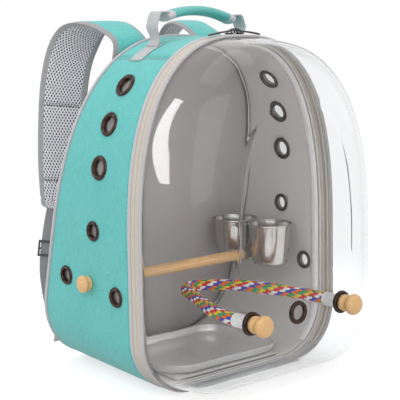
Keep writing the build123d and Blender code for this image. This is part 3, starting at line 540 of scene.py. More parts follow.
class Finishes:
    """Every material of the carrier, built once."""

    def __init__(self) -> None:
        """Builds the materials."""
        wood = {"light": (0.85, 0.56, 0.27), "dark": (0.60, 0.31, 0.11)}
        kinds = [
            Melange("teal_melange", (0.085, 0.44, 0.425), (0.175, 0.63, 0.60), (0.32, 0.74, 0.72)),
            # The next two are one grey lining cloth in two shades: the sides' copy is painted lighter, as
            # painted light for the dim cabin, and the back wall's copy is painted darker, as painted shade.
            PlainCloth("grey_lining", (0.68, 0.65, 0.63), uneven=0.05, weave=0.12),
            PlainCloth("back_wall_cloth", (0.46, 0.43, 0.42), uneven=0.05, weave=0.12),
            PlainCloth("inner_binding", (0.95, 0.93, 0.92), uneven=0.05),
            PlainCloth("stiffener_board", (0.1, 0.1, 0.1)),
            PlainCloth("fold_cloth", (0.52, 0.55, 0.56), uneven=0.06),
            PlainCloth("teal_grip_cloth", (0.12, 0.47, 0.43), uneven=0.08, rough=0.6),
            Ribbed("pale_grosgrain", (0.66, 0.63, 0.65)),
            Ribbed("grey_grosgrain", (0.62, 0.60, 0.61), shade=0.75),
            Ribbed("handle_webbing", (0.56, 0.57, 0.58), rib=1.2 * MM),
            Ribbed("strap_binding", (0.39, 0.39, 0.40), shade=0.8),
            Ribbed("strap_webbing", (0.28, 0.28, 0.29), rib=1.3 * MM, depth=0.3 * MM),
            Twill("beige_tape", (0.68, 0.62, 0.54)),
            # A lighter copy of the beige tape for the bands' inner faces: painted light on faces that the
            # dome leaves dim.
            Twill("cream_tape_back", (0.93, 0.87, 0.79)),
            AirMesh("air_mesh", (0.84, 0.82, 0.86), (0.02, 0.018, 0.025)),
            AirMesh("cushion_mesh", (0.78, 0.76, 0.79), (0.03, 0.028, 0.035), mapped=False),
            Screen("eyelet_screen", (0.5, 0.49, 0.49)),
            Metal("copper_plate", (0.05, 0.031, 0.024), rough=0.14, coat=0.1),
            Metal("cup_steel", (0.60, 0.57, 0.545), rough=0.15, lines=(1.0, 1.0, 0.03)),
            Metal("tray_steel", (0.9, 0.9, 0.9), rough=0.22, lines=(0.05, 1.0, 1.0), metallic=0.4),
            Metal("bracket_steel", (0.55, 0.55, 0.56), rough=0.25),
            Wood("dowel_wood", grain=(0.12, 1.0, 1.0), centre=(0, 0.002, -0.11), **wood),
            Wood("knob_wood", grain=(1.0, 0.25, 1.0), centre=(0, 0, 0.008), **wood),
            Plastic("white_ferrule", (0.93, 0.93, 0.94), rough=0.3, coat=0.3),
            Plastic("dark_plastic", (0.045, 0.045, 0.05), rough=0.45),
            Plastic("black_zip_metal", (0.02, 0.02, 0.022), rough=0.3, coat=0.3),
            Plastic("beige_coil", (0.6, 0.54, 0.47), rough=0.5),
            ClearSheet("clear_dome"),
            Yarn("pale_thread", (0.62, 0.62, 0.62)),
            Yarn("teal_thread", (0.2, 0.52, 0.5)),
            # Near-black thread for the strap's quilting seams, made dark and wide as painted shade in their
            # creases.
            Yarn("seam_thread", (0.08, 0.08, 0.085)),
            Yarn("yarn_core", (0.16, 0.05, 0.04)),
            Yarn("yarn_red", (0.74, 0.01, 0.015)),
            Yarn("yarn_white", (0.93, 0.92, 0.91)),
            Yarn("yarn_blue", (0.025, 0.06, 0.50)),
            Yarn("yarn_orange", (0.95, 0.15, 0.015)),
            Yarn("yarn_green", (0.01, 0.36, 0.12)),
            Yarn("yarn_yellow", (0.92, 0.60, 0.02)),
        ]
        self.made = {kind.name: kind.material() for kind in kinds}

    def dress(self, piece: bpy.types.Object, *names: str) -> None:
        """Gives a piece its materials.

        Args:
            piece: what is dressed.
            names: its finishes, in slot order.
        """
        if len(piece.data.materials):
            piece.data.materials.clear()
        for name in names:
            piece.data.materials.append(self.made[name])


# ---- shape of the carrier ----


@dataclass(frozen=True)
class Arch:
    """Outline of the carrier from the front: flat foot, round bottom corners, upright sides and an arch."""

    half: float = 160 * MM
    top: float = 420 * MM
    shoulder: float = 166 * MM
    power: float = 2.58
    front_corner: float = 71 * MM
    back_corner: float = 98 * MM
    depth_low: float = 195 * MM
    depth_high: float = 93.5 * MM
    foot_steps: int = 16
    corner_steps: int = 16
    side_steps: int = 14
    arch_steps: int = 72

    def back_y(self, z: float) -> float:
        """Place of the leaning back at a height."""
        return RIM_Y + self.depth_low - (self.depth_low - self.depth_high) * z / self.top

    def crown_z(self, x: float, inset: float = 0.0) -> float:
        """Height of the arch above a point across.

        Args:
            x: the place across.
            inset: distance inside the panels' face.

        Returns:
            The height.
        """
        share = min(abs(x) / (self.half - inset), 1.0)
        rise = (1 - share**self.power) ** (1 / self.power)
        return self.shoulder + (self.top - inset - self.shoulder) * rise

    def side_x(self, z: float, inset: float = 0.0) -> float:
        """Half width at a height."""
        up = min(max(z - self.shoulder, 0.0) / (self.top - inset - self.shoulder), 1.0)
        return (self.half - inset) * (1 - up**self.power) ** (1 / self.power)

    def outward(self, x: float, z: float) -> Vector:
        """Direction out of the sides or of the arch.

        Args:
            x: the point's place across.
            z: its height.

        Returns:
            The direction, of length one.
        """
        if z <= self.shoulder:
            return Vector((math.copysign(1.0, x), 0, 0))
        rise = self.top - self.shoulder
        level = (abs(x) / self.half) ** (self.power - 1) / self.half
        upward = ((z - self.shoulder) / rise) ** (self.power - 1) / rise
        return Vector((math.copysign(level, x), 0, upward)).normalized()

    def arch_half(self, inset: float, top_in: float | None = None) -> list[Point]:
        """Right half of the arch, evenly divided from the shoulder up to the crown's middle.

        Args:
            inset: distance inside the panels' face.
            top_in: another inset for the crown.

        Returns:
            Points across and up.
        """
        half = self.half - inset
        rise = self.top - (inset if top_in is None else top_in) - self.shoulder
        fine = []
        for step in range(241):
            turn = math.pi / 2 * step / 240
            across = max(math.cos(turn), 0.0) ** (2 / self.power)
            fine.append((half * across, self.shoulder + rise * math.sin(turn) ** (2 / self.power)))
        return even(fine, self.arch_steps // 2)

    def rim_out(self, x: float, z: float) -> Vector:
        """Direction out of the rim, also in its round bottom corners.

        Args:
            x: the point's place across.
            z: its height.

        Returns:
            The direction, of length one.
        """
        if z > self.front_corner:
            return self.outward(x, z)
        centre = Vector((math.copysign(self.half - self.front_corner, x), 0, self.front_corner))
        return (Vector((x, 0, z)) - centre).normalized()

    def right_half(
        self, inset: float, corner: float, top_in: float | None = None, foot: float | None = None
    ) -> list[Point]:
        """Right half of the outline, from the middle of the foot round to the middle of the crown.

        Args:
            inset: distance inside the panels' face.
            corner: radius of the bottom corner at the panels' face.
            top_in: another inset for the crown.
            foot: height of the foot, by default the inset.

        Returns:
            Points across and up, always as many for each call.
        """
        half = self.half - inset
        low = foot if foot is not None else max(inset, 0.0)
        radius = corner - inset
        flat = half - radius
        points = [(flat * step / self.foot_steps, low) for step in range(self.foot_steps)]
        for step in range(self.corner_steps):
            turn = math.pi / 2 * step / self.corner_steps
            points.append((flat + radius * math.sin(turn), low + radius * (1 - math.cos(turn))))
        for step in range(self.side_steps):
            points.append((half, low + radius + (self.shoulder - low - radius) * step / self.side_steps))
        return points + self.arch_half(inset, top_in)

    def ring(self, *sizes: float) -> list[Point]:
        """The closed outline, anticlockwise from the middle of the foot; right_half names the sizes."""
        right = self.right_half(*sizes)
        return right + [(-x, z) for x, z in reversed(right[1:-1])]


ARCH = Arch()


def travelled(spots: Sequence[Vector]) -> list[float]:
    """Distance of each spot along the line through them."""
    return [0.0, *accumulate((after - before).length for before, after in zip(spots, spots[1:]))]


def mirrored(spots: Sequence[Vector]) -> list[Vector]:
    """The spots on the other side of the middle, in the opposite order."""
    return [Vector((-spot.x, spot.y, spot.z)) for spot in reversed(spots)]


def even(points: Sequence[Sequence[float]], steps: int) -> list[Vector]:
    """Divides a line through points into equal steps.

    Args:
        points: places on the line.
        steps: how many steps.

    Returns:
        One more place than there are steps.
    """
    spots = [Vector(point) for point in points]
    run = travelled(spots)
    made = []
    at = 0
    for step in range(steps + 1):
        want = run[-1] * step / steps
        while at < len(run) - 2 and run[at + 1] < want:
            at += 1
        share = (want - run[at]) / max(run[at + 1] - run[at], 1e-12)
        made.append(spots[at].lerp(spots[at + 1], min(share, 1.0)))
    return made


def wave(place: Vector, size: float, seed: float = 0.0) -> float:
    """Smooth noise between about -1 and 1 whose swells are about `size` across."""
    return noise.noise(place / size + Vector((seed, seed * 0.7, -seed)))


def oval(
    middle: Vector, wide: Vector, tall: Vector, count: int, square: tuple[float, float] = (1.0, 1.0)
) -> list[Vector]:
    """A ring of points round a place.

    Args:
        middle: its centre.
        wide: half its first axis.
        tall: half its second axis.
        count: how many points.
        square: powers of the two axes, squarer below one.

    Returns:
        The points.
    """
    ring = []
    for part in range(count):
        turn = math.tau * part / count
        cos, sin = math.cos(turn), math.sin(turn)
        across = math.copysign(abs(cos) ** square[0], cos)
        upward = math.copysign(abs(sin) ** square[1], sin)
        ring.append(middle + wide * across + tall * upward)
    return ring


def ease(value: float) -> float:
    """Smooth step from nought to one."""
    value = min(max(value, 0.0), 1.0)
    return value * value * (3 - 2 * value)


class Mesh:
    """A mesh being built by extruding rows of points, with a map in metres on its faces."""

    def __init__(self, name: str) -> None:
        """Starts an empty mesh.

        Args:
            name: the piece's name.
        """
        self.name = name
        self.bm = bmesh.new()
        self.map = self.bm.loops.layers.uv.new("UVMap")

    def rows(
        self,
        rows: Sequence[Sequence[Vector]],
        closed: bool = False,
        capped: bool = False,
        slot: int = 0,
        slots: Callable[[int], int] | None = None,
    ) -> None:
        """Extrudes the first row through the others.

        Args:
            rows: as many points in each row.
            closed: whether each row is a ring.
            capped: whether the first and last rings are filled.
            slot: material slot of the faces.
            slots: material slot by place along the row, instead of one slot.
        """
        count = len(rows[0])
        runs = [0.0]
        for before, after in zip(rows, rows[1:]):
            middle = count // 2
            runs.append(runs[-1] + (Vector(after[middle]) - Vector(before[middle])).length)
        verts = [self.bm.verts.new(point) for point in rows[0]]
        edges = self._edges(verts, closed)
        if capped:
            self._cap(verts, slot)
        for index, row in enumerate(rows[1:]):
            made = bmesh.ops.extrude_edge_only(self.bm, edges=edges)["geom"]
            fresh = {tuple(v.co): v for v in made if isinstance(v, bmesh.types.BMVert)}
            ahead = [fresh[tuple(v.co)] for v in verts]
            across = self._lengths([Vector(p) for p in row], closed)
            for v, point in zip(ahead, row):
                v.co = point
            for at in range(count if closed else count - 1):
                after = (at + 1) % count
                face = next(f for f in ahead[at].link_faces if {verts[at], ahead[after]} <= set(f.verts))
                face.material_index = slots(at) if slots else slot
                face.smooth = True
                known = {
                    verts[at]: (runs[index], across[at]),
                    verts[after]: (runs[index], across[at + 1]),
                    ahead[at]: (runs[index + 1], across[at]),
                    ahead[after]: (runs[index + 1], across[at + 1]),
                }
                for loop in face.loops:
                    loop[self.map].uv = known[loop.vert]
            verts = ahead
            edges = self._edges(verts, closed)
        if capped:
            self._cap(verts, slot)

    def _edges(self, verts: list, closed: bool) -> list:
        """The edges along a row, made where they are missing."""
        pairs = list(zip(verts, verts[1:])) + ([(verts[-1], verts[0])] if closed else [])
        return [self.bm.edges.get(pair) or self.bm.edges.new(pair) for pair in pairs]

    def _cap(self, verts: list, slot: int) -> None:
        """Fills a ring with one face.

        Args:
            verts: the ring.
            slot: the face's material slot.
        """
        face = self.bm.faces.new(verts)
        face.material_index = slot
        for loop in face.loops:
            loop[self.map].uv = (loop.vert.co.x, loop.vert.co.z)

    @staticmethod
    def _lengths(points: list[Vector], closed: bool) -> list[float]:
        """Distance of each point along its row, and of the way back to the first in a ring."""
        return travelled(points + (points[:1] if closed else []))

    def weld(self, reach: float = 0.01 * MM) -> None:
        """Merges doubles and turns the faces outwards."""
        bmesh.ops.remove_doubles(self.bm, verts=self.bm.verts, dist=reach)
        bmesh.ops.recalc_face_normals(self.bm, faces=self.bm.faces)

    def finish(self, body: str, *replaced: str, slot: str | None = None) -> bpy.types.Object:
        """Makes the object and gives it to a body.

        Args:
            body: the CAD body it rides on.
            replaced: CAD nodes it stands for.
            slot: the record's material slot.

        Returns:
            The object.
        """
        return settled(self.name, self.bm, body, *replaced, slot=slot)


def linked(name: str, bm: bmesh.types.BMesh) -> bpy.types.Object:
    """Turns a bmesh into an object of the scene.

    Args:
        name: the object's name.
        bm: the mesh, which is freed.

    Returns:
        The object.
    """
    data = bpy.data.meshes.new(name)
    bm.to_mesh(data)
    bm.free()
    piece = bpy.data.objects.new(name, data)
    bpy.context.scene.collection.objects.link(piece)
    return piece


def settled(
    name: str, bm: bmesh.types.BMesh, body: str, *replaced: str, slot: str | None = None
) -> bpy.types.Object:
    """Turns a bmesh into a piece of a body and reports it.

    Args:
        name: the piece's name.
        bm: the mesh, which is freed.
        body: the CAD body it rides on.
        replaced: CAD nodes it stands for.
        slot: the record's material slot; not used.

    Returns:
        The piece.
    """
    piece = linked(name, bm)
    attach(piece, body)
    if replaced:
        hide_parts(*replaced)
    log.info("%s: %d faces", piece.name, len(piece.data.polygons))
    return piece


def applied(piece: bpy.types.Object) -> None:
    """Applies a piece's modifiers to its mesh.

    Args:
        piece: the piece, left without modifiers.
    """
    graph = bpy.context.evaluated_depsgraph_get()
    made = piece.evaluated_get(graph)
    data = bpy.data.meshes.new_from_object(made, preserve_all_data_layers=True, depsgraph=graph)
    old = piece.data
    piece.modifiers.clear()
    piece.data = data
    data.name = piece.name
    bpy.data.meshes.remove(old)


def thickened(piece: bpy.types.Object, thickness: float, offset: float = -1.0) -> None:
    """Gives a sheet its thickness.

    Args:
        piece: the sheet.
        thickness: how thick it becomes.
        offset: which way it grows, from -1 for inwards to 1.
    """
    wall = piece.modifiers.new("wall", "SOLIDIFY")
    wall.thickness = thickness
    wall.offset = offset
    wall.use_even_offset = True
    applied(piece)


def drilled(piece: bpy.types.Object, holes: Iterable[tuple[Vector, Vector, float]], deep: float) -> None:
    """Cuts round holes through a piece.

    Args:
        piece: the piece to cut.
        holes: centre, axis and radius of each.
        deep: length of the cutters.
    """
    bm = bmesh.new()
    for centre, axis, radius in holes:
        turn = axis.to_track_quat("Z", "Y").to_matrix().to_4x4()
        place = Matrix.Translation(centre) @ turn
        sizes = {"radius1": radius, "radius2": radius, "depth": deep}
        bmesh.ops.create_cone(bm, cap_ends=True, segments=32, matrix=place, **sizes)
    cutter = linked("cutter", bm)
    cut = piece.modifiers.new("holes", "BOOLEAN")
    cut.object = cutter
    cut.operation = "DIFFERENCE"
    cut.solver = "EXACT"
    applied(piece)
    bpy.data.meshes.remove(cutter.data)
    for face in piece.data.polygons:
        face.use_smooth = True


def stitches(
    name: str,
    body: str,
    lines: Sequence[tuple[Sequence[Vector], Sequence[Vector]]],
    long: float = 2.6 * MM,
    gap: float = 1.1 * MM,
    thick: float = 0.55 * MM,
) -> bpy.types.Object:
    """A row of thread stitches along each line.

    Args:
        name: the piece's name.
        body: the CAD body it rides on.
        lines: for each line its places and the directions out of the cloth there.
        long: length of a stitch.
        gap: cloth between two stitches.
        thick: width of a stitch.

    Returns:
        The piece.
    """
    made = Mesh(name)
    tip = (0.4, 0.1, 0.5)
    for places, outs in lines:
        count = max(int(travelled(places)[-1] / (long + gap)), 1)
        spots = even(places, count * 4)
        normals = [normal.normalized() for normal in even(outs, count * 4)]
        for stitch in range(count):
            start, end = spots[stitch * 4], spots[stitch * 4 + 3]
            out = normals[stitch * 4 + 1]
            along = (end - start).normalized()
            side = along.cross(out).normalized() * thick / 2
            middle = (start + end) / 2 + out * thick * 0.5
            rows = []
            for spot, (wide, rise, sink) in ((start, tip), (middle, (1.0, 0.4, 1.0)), (end, tip)):
                above, below = spot + out * thick * rise, spot - out * thick * sink
                rows.append([spot + side * wide, above, spot - side * wide, below])
            made.rows(rows, closed=True, capped=True)
    bmesh.ops.recalc_face_normals(made.bm, faces=made.bm.faces)
    return made.finish(body)


class Facing(Enum):
    """The way that an open sheet looks; OUT is away from the cabin's middle."""

    OUT = None
    FRONT = (0, -1, 0)
    BACK = (0, 1, 0)
    UP = (0, 0, 1)
    DOWN = (0, 0, -1)

    def turn(self, piece: bpy.types.Object) -> None:
        """Turns a sheet's faces this way.

        Args:
            piece: the sheet.
        """
        middle = Vector((0, 0, 200 * MM))
        total = 0.0
        for face in piece.data.polygons:
            way = Vector(self.value) if self.value else face.center - middle
            total += way.dot(face.normal) * face.area
        if total < 0:
            piece.data.flip_normals()


@dataclass
class Maker:
    """A sub-assembly, which turns what it builds into dressed pieces."""

    finishes: Finishes

    def piece(
        self,
        made: Mesh,
        body: str,
        *nodes: str,
        slot: str | None = None,
        dress: str | None = None,
        facing: Facing | None = None,
        wall: float = 0.0,
        offset: float = -1.0,
    ) -> bpy.types.Object:
        """Closes a mesh, gives it to a body, and turns, thickens and dresses it.

        Args:
            made: the mesh.
            body: the CAD body it rides on.
            nodes: CAD nodes it stands for.
            slot: the record's material slot.
            dress: its finish.
            facing: the way that an open sheet looks.
            wall: the thickness of an open sheet.
            offset: which way the thickness grows.

        Returns:
            The piece.
        """
        made.weld()
        piece = made.finish(body, *nodes, slot=slot)
        if facing:
            facing.turn(piece)
        if wall:
            thickened(piece, wall, offset)
        if dress:
            self.finishes.dress(piece, dress)
        return piece

    def thread(
        self, name: str, body: str, lines: Sequence[tuple], dress: str, **sizes: float
    ) -> None:
        """Stitches along lines, dressed."""
        self.finishes.dress(stitches(name, body, lines, **sizes), dress)


# ---- cloth shell ----


@dataclass
class Shell(Maker):
    """Sewn cloth shell with its lining, back, floor and front rim."""

    seam_x: float = 88 * MM
    seam_half: float = 1.0 * MM
    seam_rise: float = 0.55 * MM
    topstitch: float = 3.2 * MM
    panel: float = 2.2 * MM
    lining_in: float = 2.75 * MM
    lining_thick: float = 0.8 * MM
    bore_depth: float = 16 * MM
    screw_y: float = 79 * MM
    screw_z: float = 127 * MM
    screw_hole: float = 2.8 * MM
    lining_stop: float = 8.6 * MM
    lining_sag: float = 1.1 * MM
    back_in: float = 3.0 * MM
    back_thick: float = 4.4 * MM
    back_lining_in: float = 4.2 * MM
    back_lining_off: float = 7.2 * MM
    back_lining_thick: float = 0.6 * MM
    ribbon: float = 12.5 * MM
    ribbon_thick: float = 0.5 * MM
    tape_half: float = 4.6 * MM
    sheet_middle: Point = (0.0, 200 * MM)
    column_share: float = 0.452
    rows: int = 26
    holes: list[tuple[float, float, float]] = field(
        default_factory=lambda: [
            (364 * MM, 0.0, 15 * MM),
            (319 * MM, 0.0, 15 * MM),
            (268 * MM, 0.0, 15 * MM),
            (192 * MM, 0.0, 12.3 * MM),
            (118 * MM, 25 * MM, 12.3 * MM),
            (130 * MM, 126 * MM, 12.3 * MM),
        ]
    )

    def build(self) -> None:
        """Builds every cloth piece of the shell."""
        for side in Side:
            self._side_panel(side)
        self._crown()
        self._base()
        self._lining()
        self._back_cloth()
        self._back_lining()
        self._seams()
        self._inner_bindings()

    def _surface(self, inset: float, side: int, end_trim: float = 0.0) -> list[list[Vector]]:
        """Points of half the cloth's surface: rows run from the rim to the back.

        Args:
            inset: distance inside the panels' face.
            side: which side of the carrier.
            end_trim: how far the last row stops before the back.

        Returns:
            One row of outline points for each step back.
        """
        front = ARCH.right_half(inset, ARCH.front_corner)
        back = ARCH.right_half(inset, ARCH.back_corner)
        made = []
        for row in range(self.rows + 1):
            share = row / self.rows
            line = []
            for (ax, az), (bx, bz) in zip(front, back):
                deep = ARCH.back_y(bz) - end_trim
                x = side * (ax + (bx - ax) * share)
                line.append(Vector((x, RIM_Y + (deep - RIM_Y) * share, az + (bz - az) * share)))
            made.append(line)
        return made

    def _cut(self) -> tuple[int, int]:
        """Where the half outline is cut into panels.

        Returns:
            First place of the side panel and first place of the crown.
        """
        half = ARCH.right_half(0, ARCH.front_corner)
        seam = next(index for index in range(len(half) - 1, 0, -1) if half[index][0] >= self.seam_x)
        return ARCH.foot_steps, seam

    def _softened(self, rows: list[list[Vector]], amount: float, seed: float, edge: int = 3) -> None:
        """Lets cloth swell and sink a little, held flat at its sewn edges.

        Args:
            rows: the cloth's points, which are moved.
            amount: how far it swells.
            seed: picks the swells.
            edge: how many points in from an edge it is free.
        """
        high, wide = len(rows), len(rows[0])
        for i in range(1, high - 1):
            for j in range(1, wide - 1):
                place = rows[i][j]
                hold = min(i, high - 1 - i, j, wide - 1 - j) / edge
                out = (rows[i + 1][j] - rows[i - 1][j]).cross(rows[i][j + 1] - rows[i][j - 1]).normalized()
                swell = wave(place, 90 * MM, seed) * 0.7 + wave(place, 30 * MM, seed + 5) * 0.3
                rows[i][j] = place + out * (swell * amount * ease(hold))

    def _bores(self, side: Side, radius_share: float = 0.76) -> list[tuple[Vector, Vector, float]]:
        """The eyelets' holes and the perch's screw hole on one side.

        Args:
            side: which side.
            radius_share: size of an eyelet's hole by its flange.

        Returns:
            Centre, axis and radius of each.
        """
        bores = []
        for z, y, radius in self.holes:
            deep = y or (ARCH.back_y(z) - RIM_Y) * self.column_share
            x = ARCH.side_x(z)
            centre = Vector((side.value * x, RIM_Y + deep, z))
            bores.append((centre, ARCH.outward(side.value * x, z), radius * radius_share))
        screw = Vector((side.value * ARCH.half, RIM_Y + self.screw_y, self.screw_z))
        bores.append((screw, Vector((side.value, 0, 0)), self.screw_hole))
        return bores

    def _side_panel(self, side: Side) -> None:
        """One side panel with its eyelet holes.

        Args:
            side: which side.
        """
        first, seam = self._cut()
        rows = [row[first : seam + 1] for row in self._surface(0.1 * MM, side.value)]
        self._softened(rows, 0.5 * MM, 3.0 + side.value)
        made = Mesh(f"side_cloth_{side.word}")
        made.rows(rows)
        node = f"side_panel_{side.word}"
        piece = self.piece(made, "shell", node, slot="melange_cloth", facing=Facing.OUT, wall=self.panel)
        drilled(piece, self._bores(side), self.bore_depth)
        self.finishes.dress(piece, "teal_melange")

    def _panel(self, name: str, rows: list[list[Vector]], node: str) -> None:
        """One outer panel of melange cloth without holes.

        Args:
            name: the piece's name.
            rows: the cloth's points.
            node: the CAD node it stands for.
        """
        made = Mesh(name)
        made.rows(rows)
        kind = {"slot": "melange_cloth", "dress": "teal_melange"}
        self.piece(made, "shell", node, facing=Facing.OUT, wall=self.panel, **kind)

    def _crown(self) -> None:
        """Top panel between the two long seams."""
        _, seam = self._cut()
        right = [row[seam:] for row in self._surface(0.1 * MM, 1)]
        rows = [line + mirrored(line[:-1]) for line in right]
        self._softened(rows, 0.5 * MM, 8.0)
        self._panel("crown_cloth", rows, "top_panel")

    def _base(self) -> None:
        """Flat underside."""
        first, _ = self._cut()
        right = [row[: first + 1] for row in self._surface(0.0, 1)]
        self._panel("base_cloth", [mirrored(line[1:]) + line for line in right], "base_panel")

    def _lining(self) -> None:
        """Grey lining of the sides, crown and floor, with the eyelets' holes."""
        right = self._surface(self.lining_in, 1, self.lining_stop)
        rows = [line + mirrored(line[1:-1]) for line in right]
        for i, ring in enumerate(rows[1:-1], 1):
            hold = ease(min(i, len(rows) - 1 - i) / 4)
            for at, place in enumerate(ring):
                if place.z < 6 * MM:
                    continue
                middle = Vector((0, place.y, min(place.z, self.sheet_middle[1])))
                inward = (middle - place).normalized()
                sag = 0.35 + 0.65 * wave(place, 55 * MM, 21.0)
                ring[at] = place + inward * (max(sag, 0.0) * self.lining_sag * hold)
        made = Mesh("cabin_lining")
        made.rows(rows, closed=True)
        kind = {"slot": "grey_lining", "facing": Facing.OUT, "wall": self.lining_thick}
        piece = self.piece(made, "shell", "side_lining", **kind)
        for side in Side:
            drilled(piece, self._bores(side, 0.84), self.bore_depth)
        # The lining wears the lighter copy of the lining cloth: painted light.
        self.finishes.dress(piece, "grey_lining")

    @classmethod
    def sheet(
        cls, outline: list[Point], rings: int, at: Callable[[float, float], Vector]
    ) -> list[list[Vector]]:
        """Rings of points that close from an outline towards its middle.

        Args:
            outline: the outermost ring, across and up.
            rings: how many rings.
            at: gives the place of a point across and up.

        Returns:
            The rings.
        """
        middle = Vector(cls.sheet_middle)
        shares = [1 - ring / rings for ring in range(rings)]
        return [[at(*middle.lerp(Vector(point), share)) for point in outline] for share in shares]

    @staticmethod
    def _wall(made: Mesh, rings: list[list[Vector]]) -> None:
        """Fills a mesh from rings, with its middle closed.

        Args:
            made: the mesh.
            rings: the rings, from the outermost.
        """
        made.rows(rings, closed=True)
        inner = [edge for edge in made.bm.edges if edge.is_boundary and abs(edge.verts[0].co.x) < 10 * MM]
        bmesh.ops.holes_fill(made.bm, edges=inner)

    def _back_cloth(self) -> None:
        """Padded outer cloth of the leaning back."""

        def outer(x: float, z: float) -> Vector:
            """A point of the padded face."""
            puff = wave(Vector((x, 0, z)), 70 * MM, 31.0) * 0.35 * MM
            return Vector((x, ARCH.back_y(z) - 0.3 * MM + min(puff, 0.25 * MM), z))

        made = Mesh("back_cloth")
        self._wall(made, self.sheet(ARCH.ring(self.back_in, ARCH.back_corner), 26, outer))
        kind = {"slot": "melange_cloth", "dress": "teal_melange"}
        self.piece(made, "shell", "back_panel", facing=Facing.BACK, wall=self.back_thick, **kind)

    def _back_lining(self) -> None:
        """Grey inner cloth of the back, slack between its seams."""
        inset = self.back_lining_in

        def inner(x: float, z: float) -> Vector:
            """A point of the slack cloth.

            Args:
                x: its place across.
                z: its height.

            Returns:
                The point.
            """
            place = Vector((x, 0, z))
            above = ARCH.crown_z(min(abs(x), 150 * MM), inset) - z
            edge = min(ARCH.side_x(z, inset) - abs(x), above, z - 4 * MM)
            slack = 0.5 + wave(place, 75 * MM, 41.0) * 0.7 + wave(place, 22 * MM, 43.0) * 0.2
            away = self.back_lining_off + max(slack, 0.0) * 1.6 * MM * ease(edge / (30 * MM))
            return Vector((x, ARCH.back_y(z) - away, z))

        made = Mesh("back_wall_lining")
        self._wall(made, self.sheet(ARCH.ring(inset, ARCH.back_corner), 40, inner))
        # The back wall wears the darker copy of the same lining cloth: painted shade.
        kind = {"slot": "grey_lining", "dress": "back_wall_cloth"}
        self.piece(made, "shell", "back_lining", facing=Facing.FRONT, wall=self.back_lining_thick, **kind)

    def _seams(self) -> None:
        """Turned seams between the side panels and the crown, with a row of topstitching each side."""
        _, seam = self._cut()
        lines = []
        made = Mesh("panel_seams")
        for side in Side:
            surface = self._surface(0.0, side.value)
            rows = []
            runs = []
            for row in surface:
                place = row[seam]
                across = (row[seam + 1] - row[seam - 1]).normalized()
                out = ARCH.outward(place.x, place.z)
                lift = (out - across * out.dot(across)).normalized() * self.seam_rise
                rows.append(oval(place, across * self.seam_half, lift, 8))
                runs.append((place, across, out))
            made.rows(rows, closed=True, capped=True)
            for shift in (-self.topstitch, self.topstitch):
                line = [place + across * shift + out * 0.1 * MM for place, across, out in runs[1:-1]]
                lines.append((line, [out for _, _, out in runs[1:-1]]))
        self.piece(made, "shell", slot="melange_cloth", dress="teal_melange")
        self.thread("crown_topstitching", "shell", lines, "pale_thread")

    def _inner_bindings(self) -> None:
        """Gathered ribbons that cover the seams inside: along the rim and down the back corners."""
        path = self._round(3.6 * MM, ARCH.front_corner, 14 * MM, 520)
        made = Mesh("rim_inner_binding")
        rows = []
        for x, z in path:
            inward = -ARCH.rim_out(x, z)
            place = Vector((x, 0, z))
            pucker = wave(place, 5 * MM, 51.0) * 0.9 * MM + wave(place, 2.4 * MM, 53.0) * 0.4 * MM
            edge = wave(place, 9 * MM, 55.0) * 0.8 * MM
            line = []
            for step in range(7):
                share = step / 6
                y = RIM_Y - 1.4 * MM + share * (self.ribbon + edge)
                crown = math.sin(math.pi * min(share * 1.1, 1.0)) * 1.5 * MM
                line.append(place + inward * (0.5 * MM + crown + pucker * share) + Vector((0, y, 0)))
            rows.append(line)
        made.rows(rows)
        kind = {"slot": "light_binding", "dress": "inner_binding"}
        self.piece(made, "shell", wall=self.ribbon_thick, offset=0.0, **kind)
        self._corner_tape()

    @staticmethod
    def _round(inset: float, corner: float, low: float, steps: int) -> list[Vector]:
        """The outline from one side of its foot round to the other.

        Args:
            inset: distance inside the panels' face.
            corner: radius of the bottom corner.
            low: the height where it starts and ends.
            steps: how many steps.

        Returns:
            Points across and up.
        """
        ring = ARCH.ring(inset, corner)
        first = next(at for at, (_, z) in enumerate(ring) if z > low)
        return even(ring[first : len(ring) - first + 1], steps)

    def _corner_tape(self) -> None:
        """Bound seam that stands up between the lining's sides and its back."""
        made = Mesh("back_corner_binding")
        rows = []
        for x, z in self._round(4.4 * MM, ARCH.back_corner, 20 * MM, 420):
            place = Vector((x, ARCH.back_y(z) - 9.4 * MM, z))
            centre = Vector((0, place.y, min(max(z, 98 * MM), 250 * MM)))
            inward = (centre - place).normalized()
            bend = wave(Vector((x, 0, z)), 24 * MM, 61.0)
            crease = wave(Vector((x, 0, z)), 6 * MM, 63.0)
            stand = (inward * (0.75 + 0.2 * bend) + Vector((0, -0.65 + 0.25 * bend, 0))).normalized()
            side = stand.cross(Vector((0, 1, 0)).cross(inward)).normalized()
            middle = place + stand * (self.tape_half + crease * 0.5 * MM)
            rows.append(oval(middle, stand * self.tape_half, side * (0.9 + 0.3 * bend) * MM, 12))
        made.rows(rows, closed=True, capped=True)
        self.piece(made, "shell", slot="light_binding", dress="inner_binding")


# ---- zipped band ----


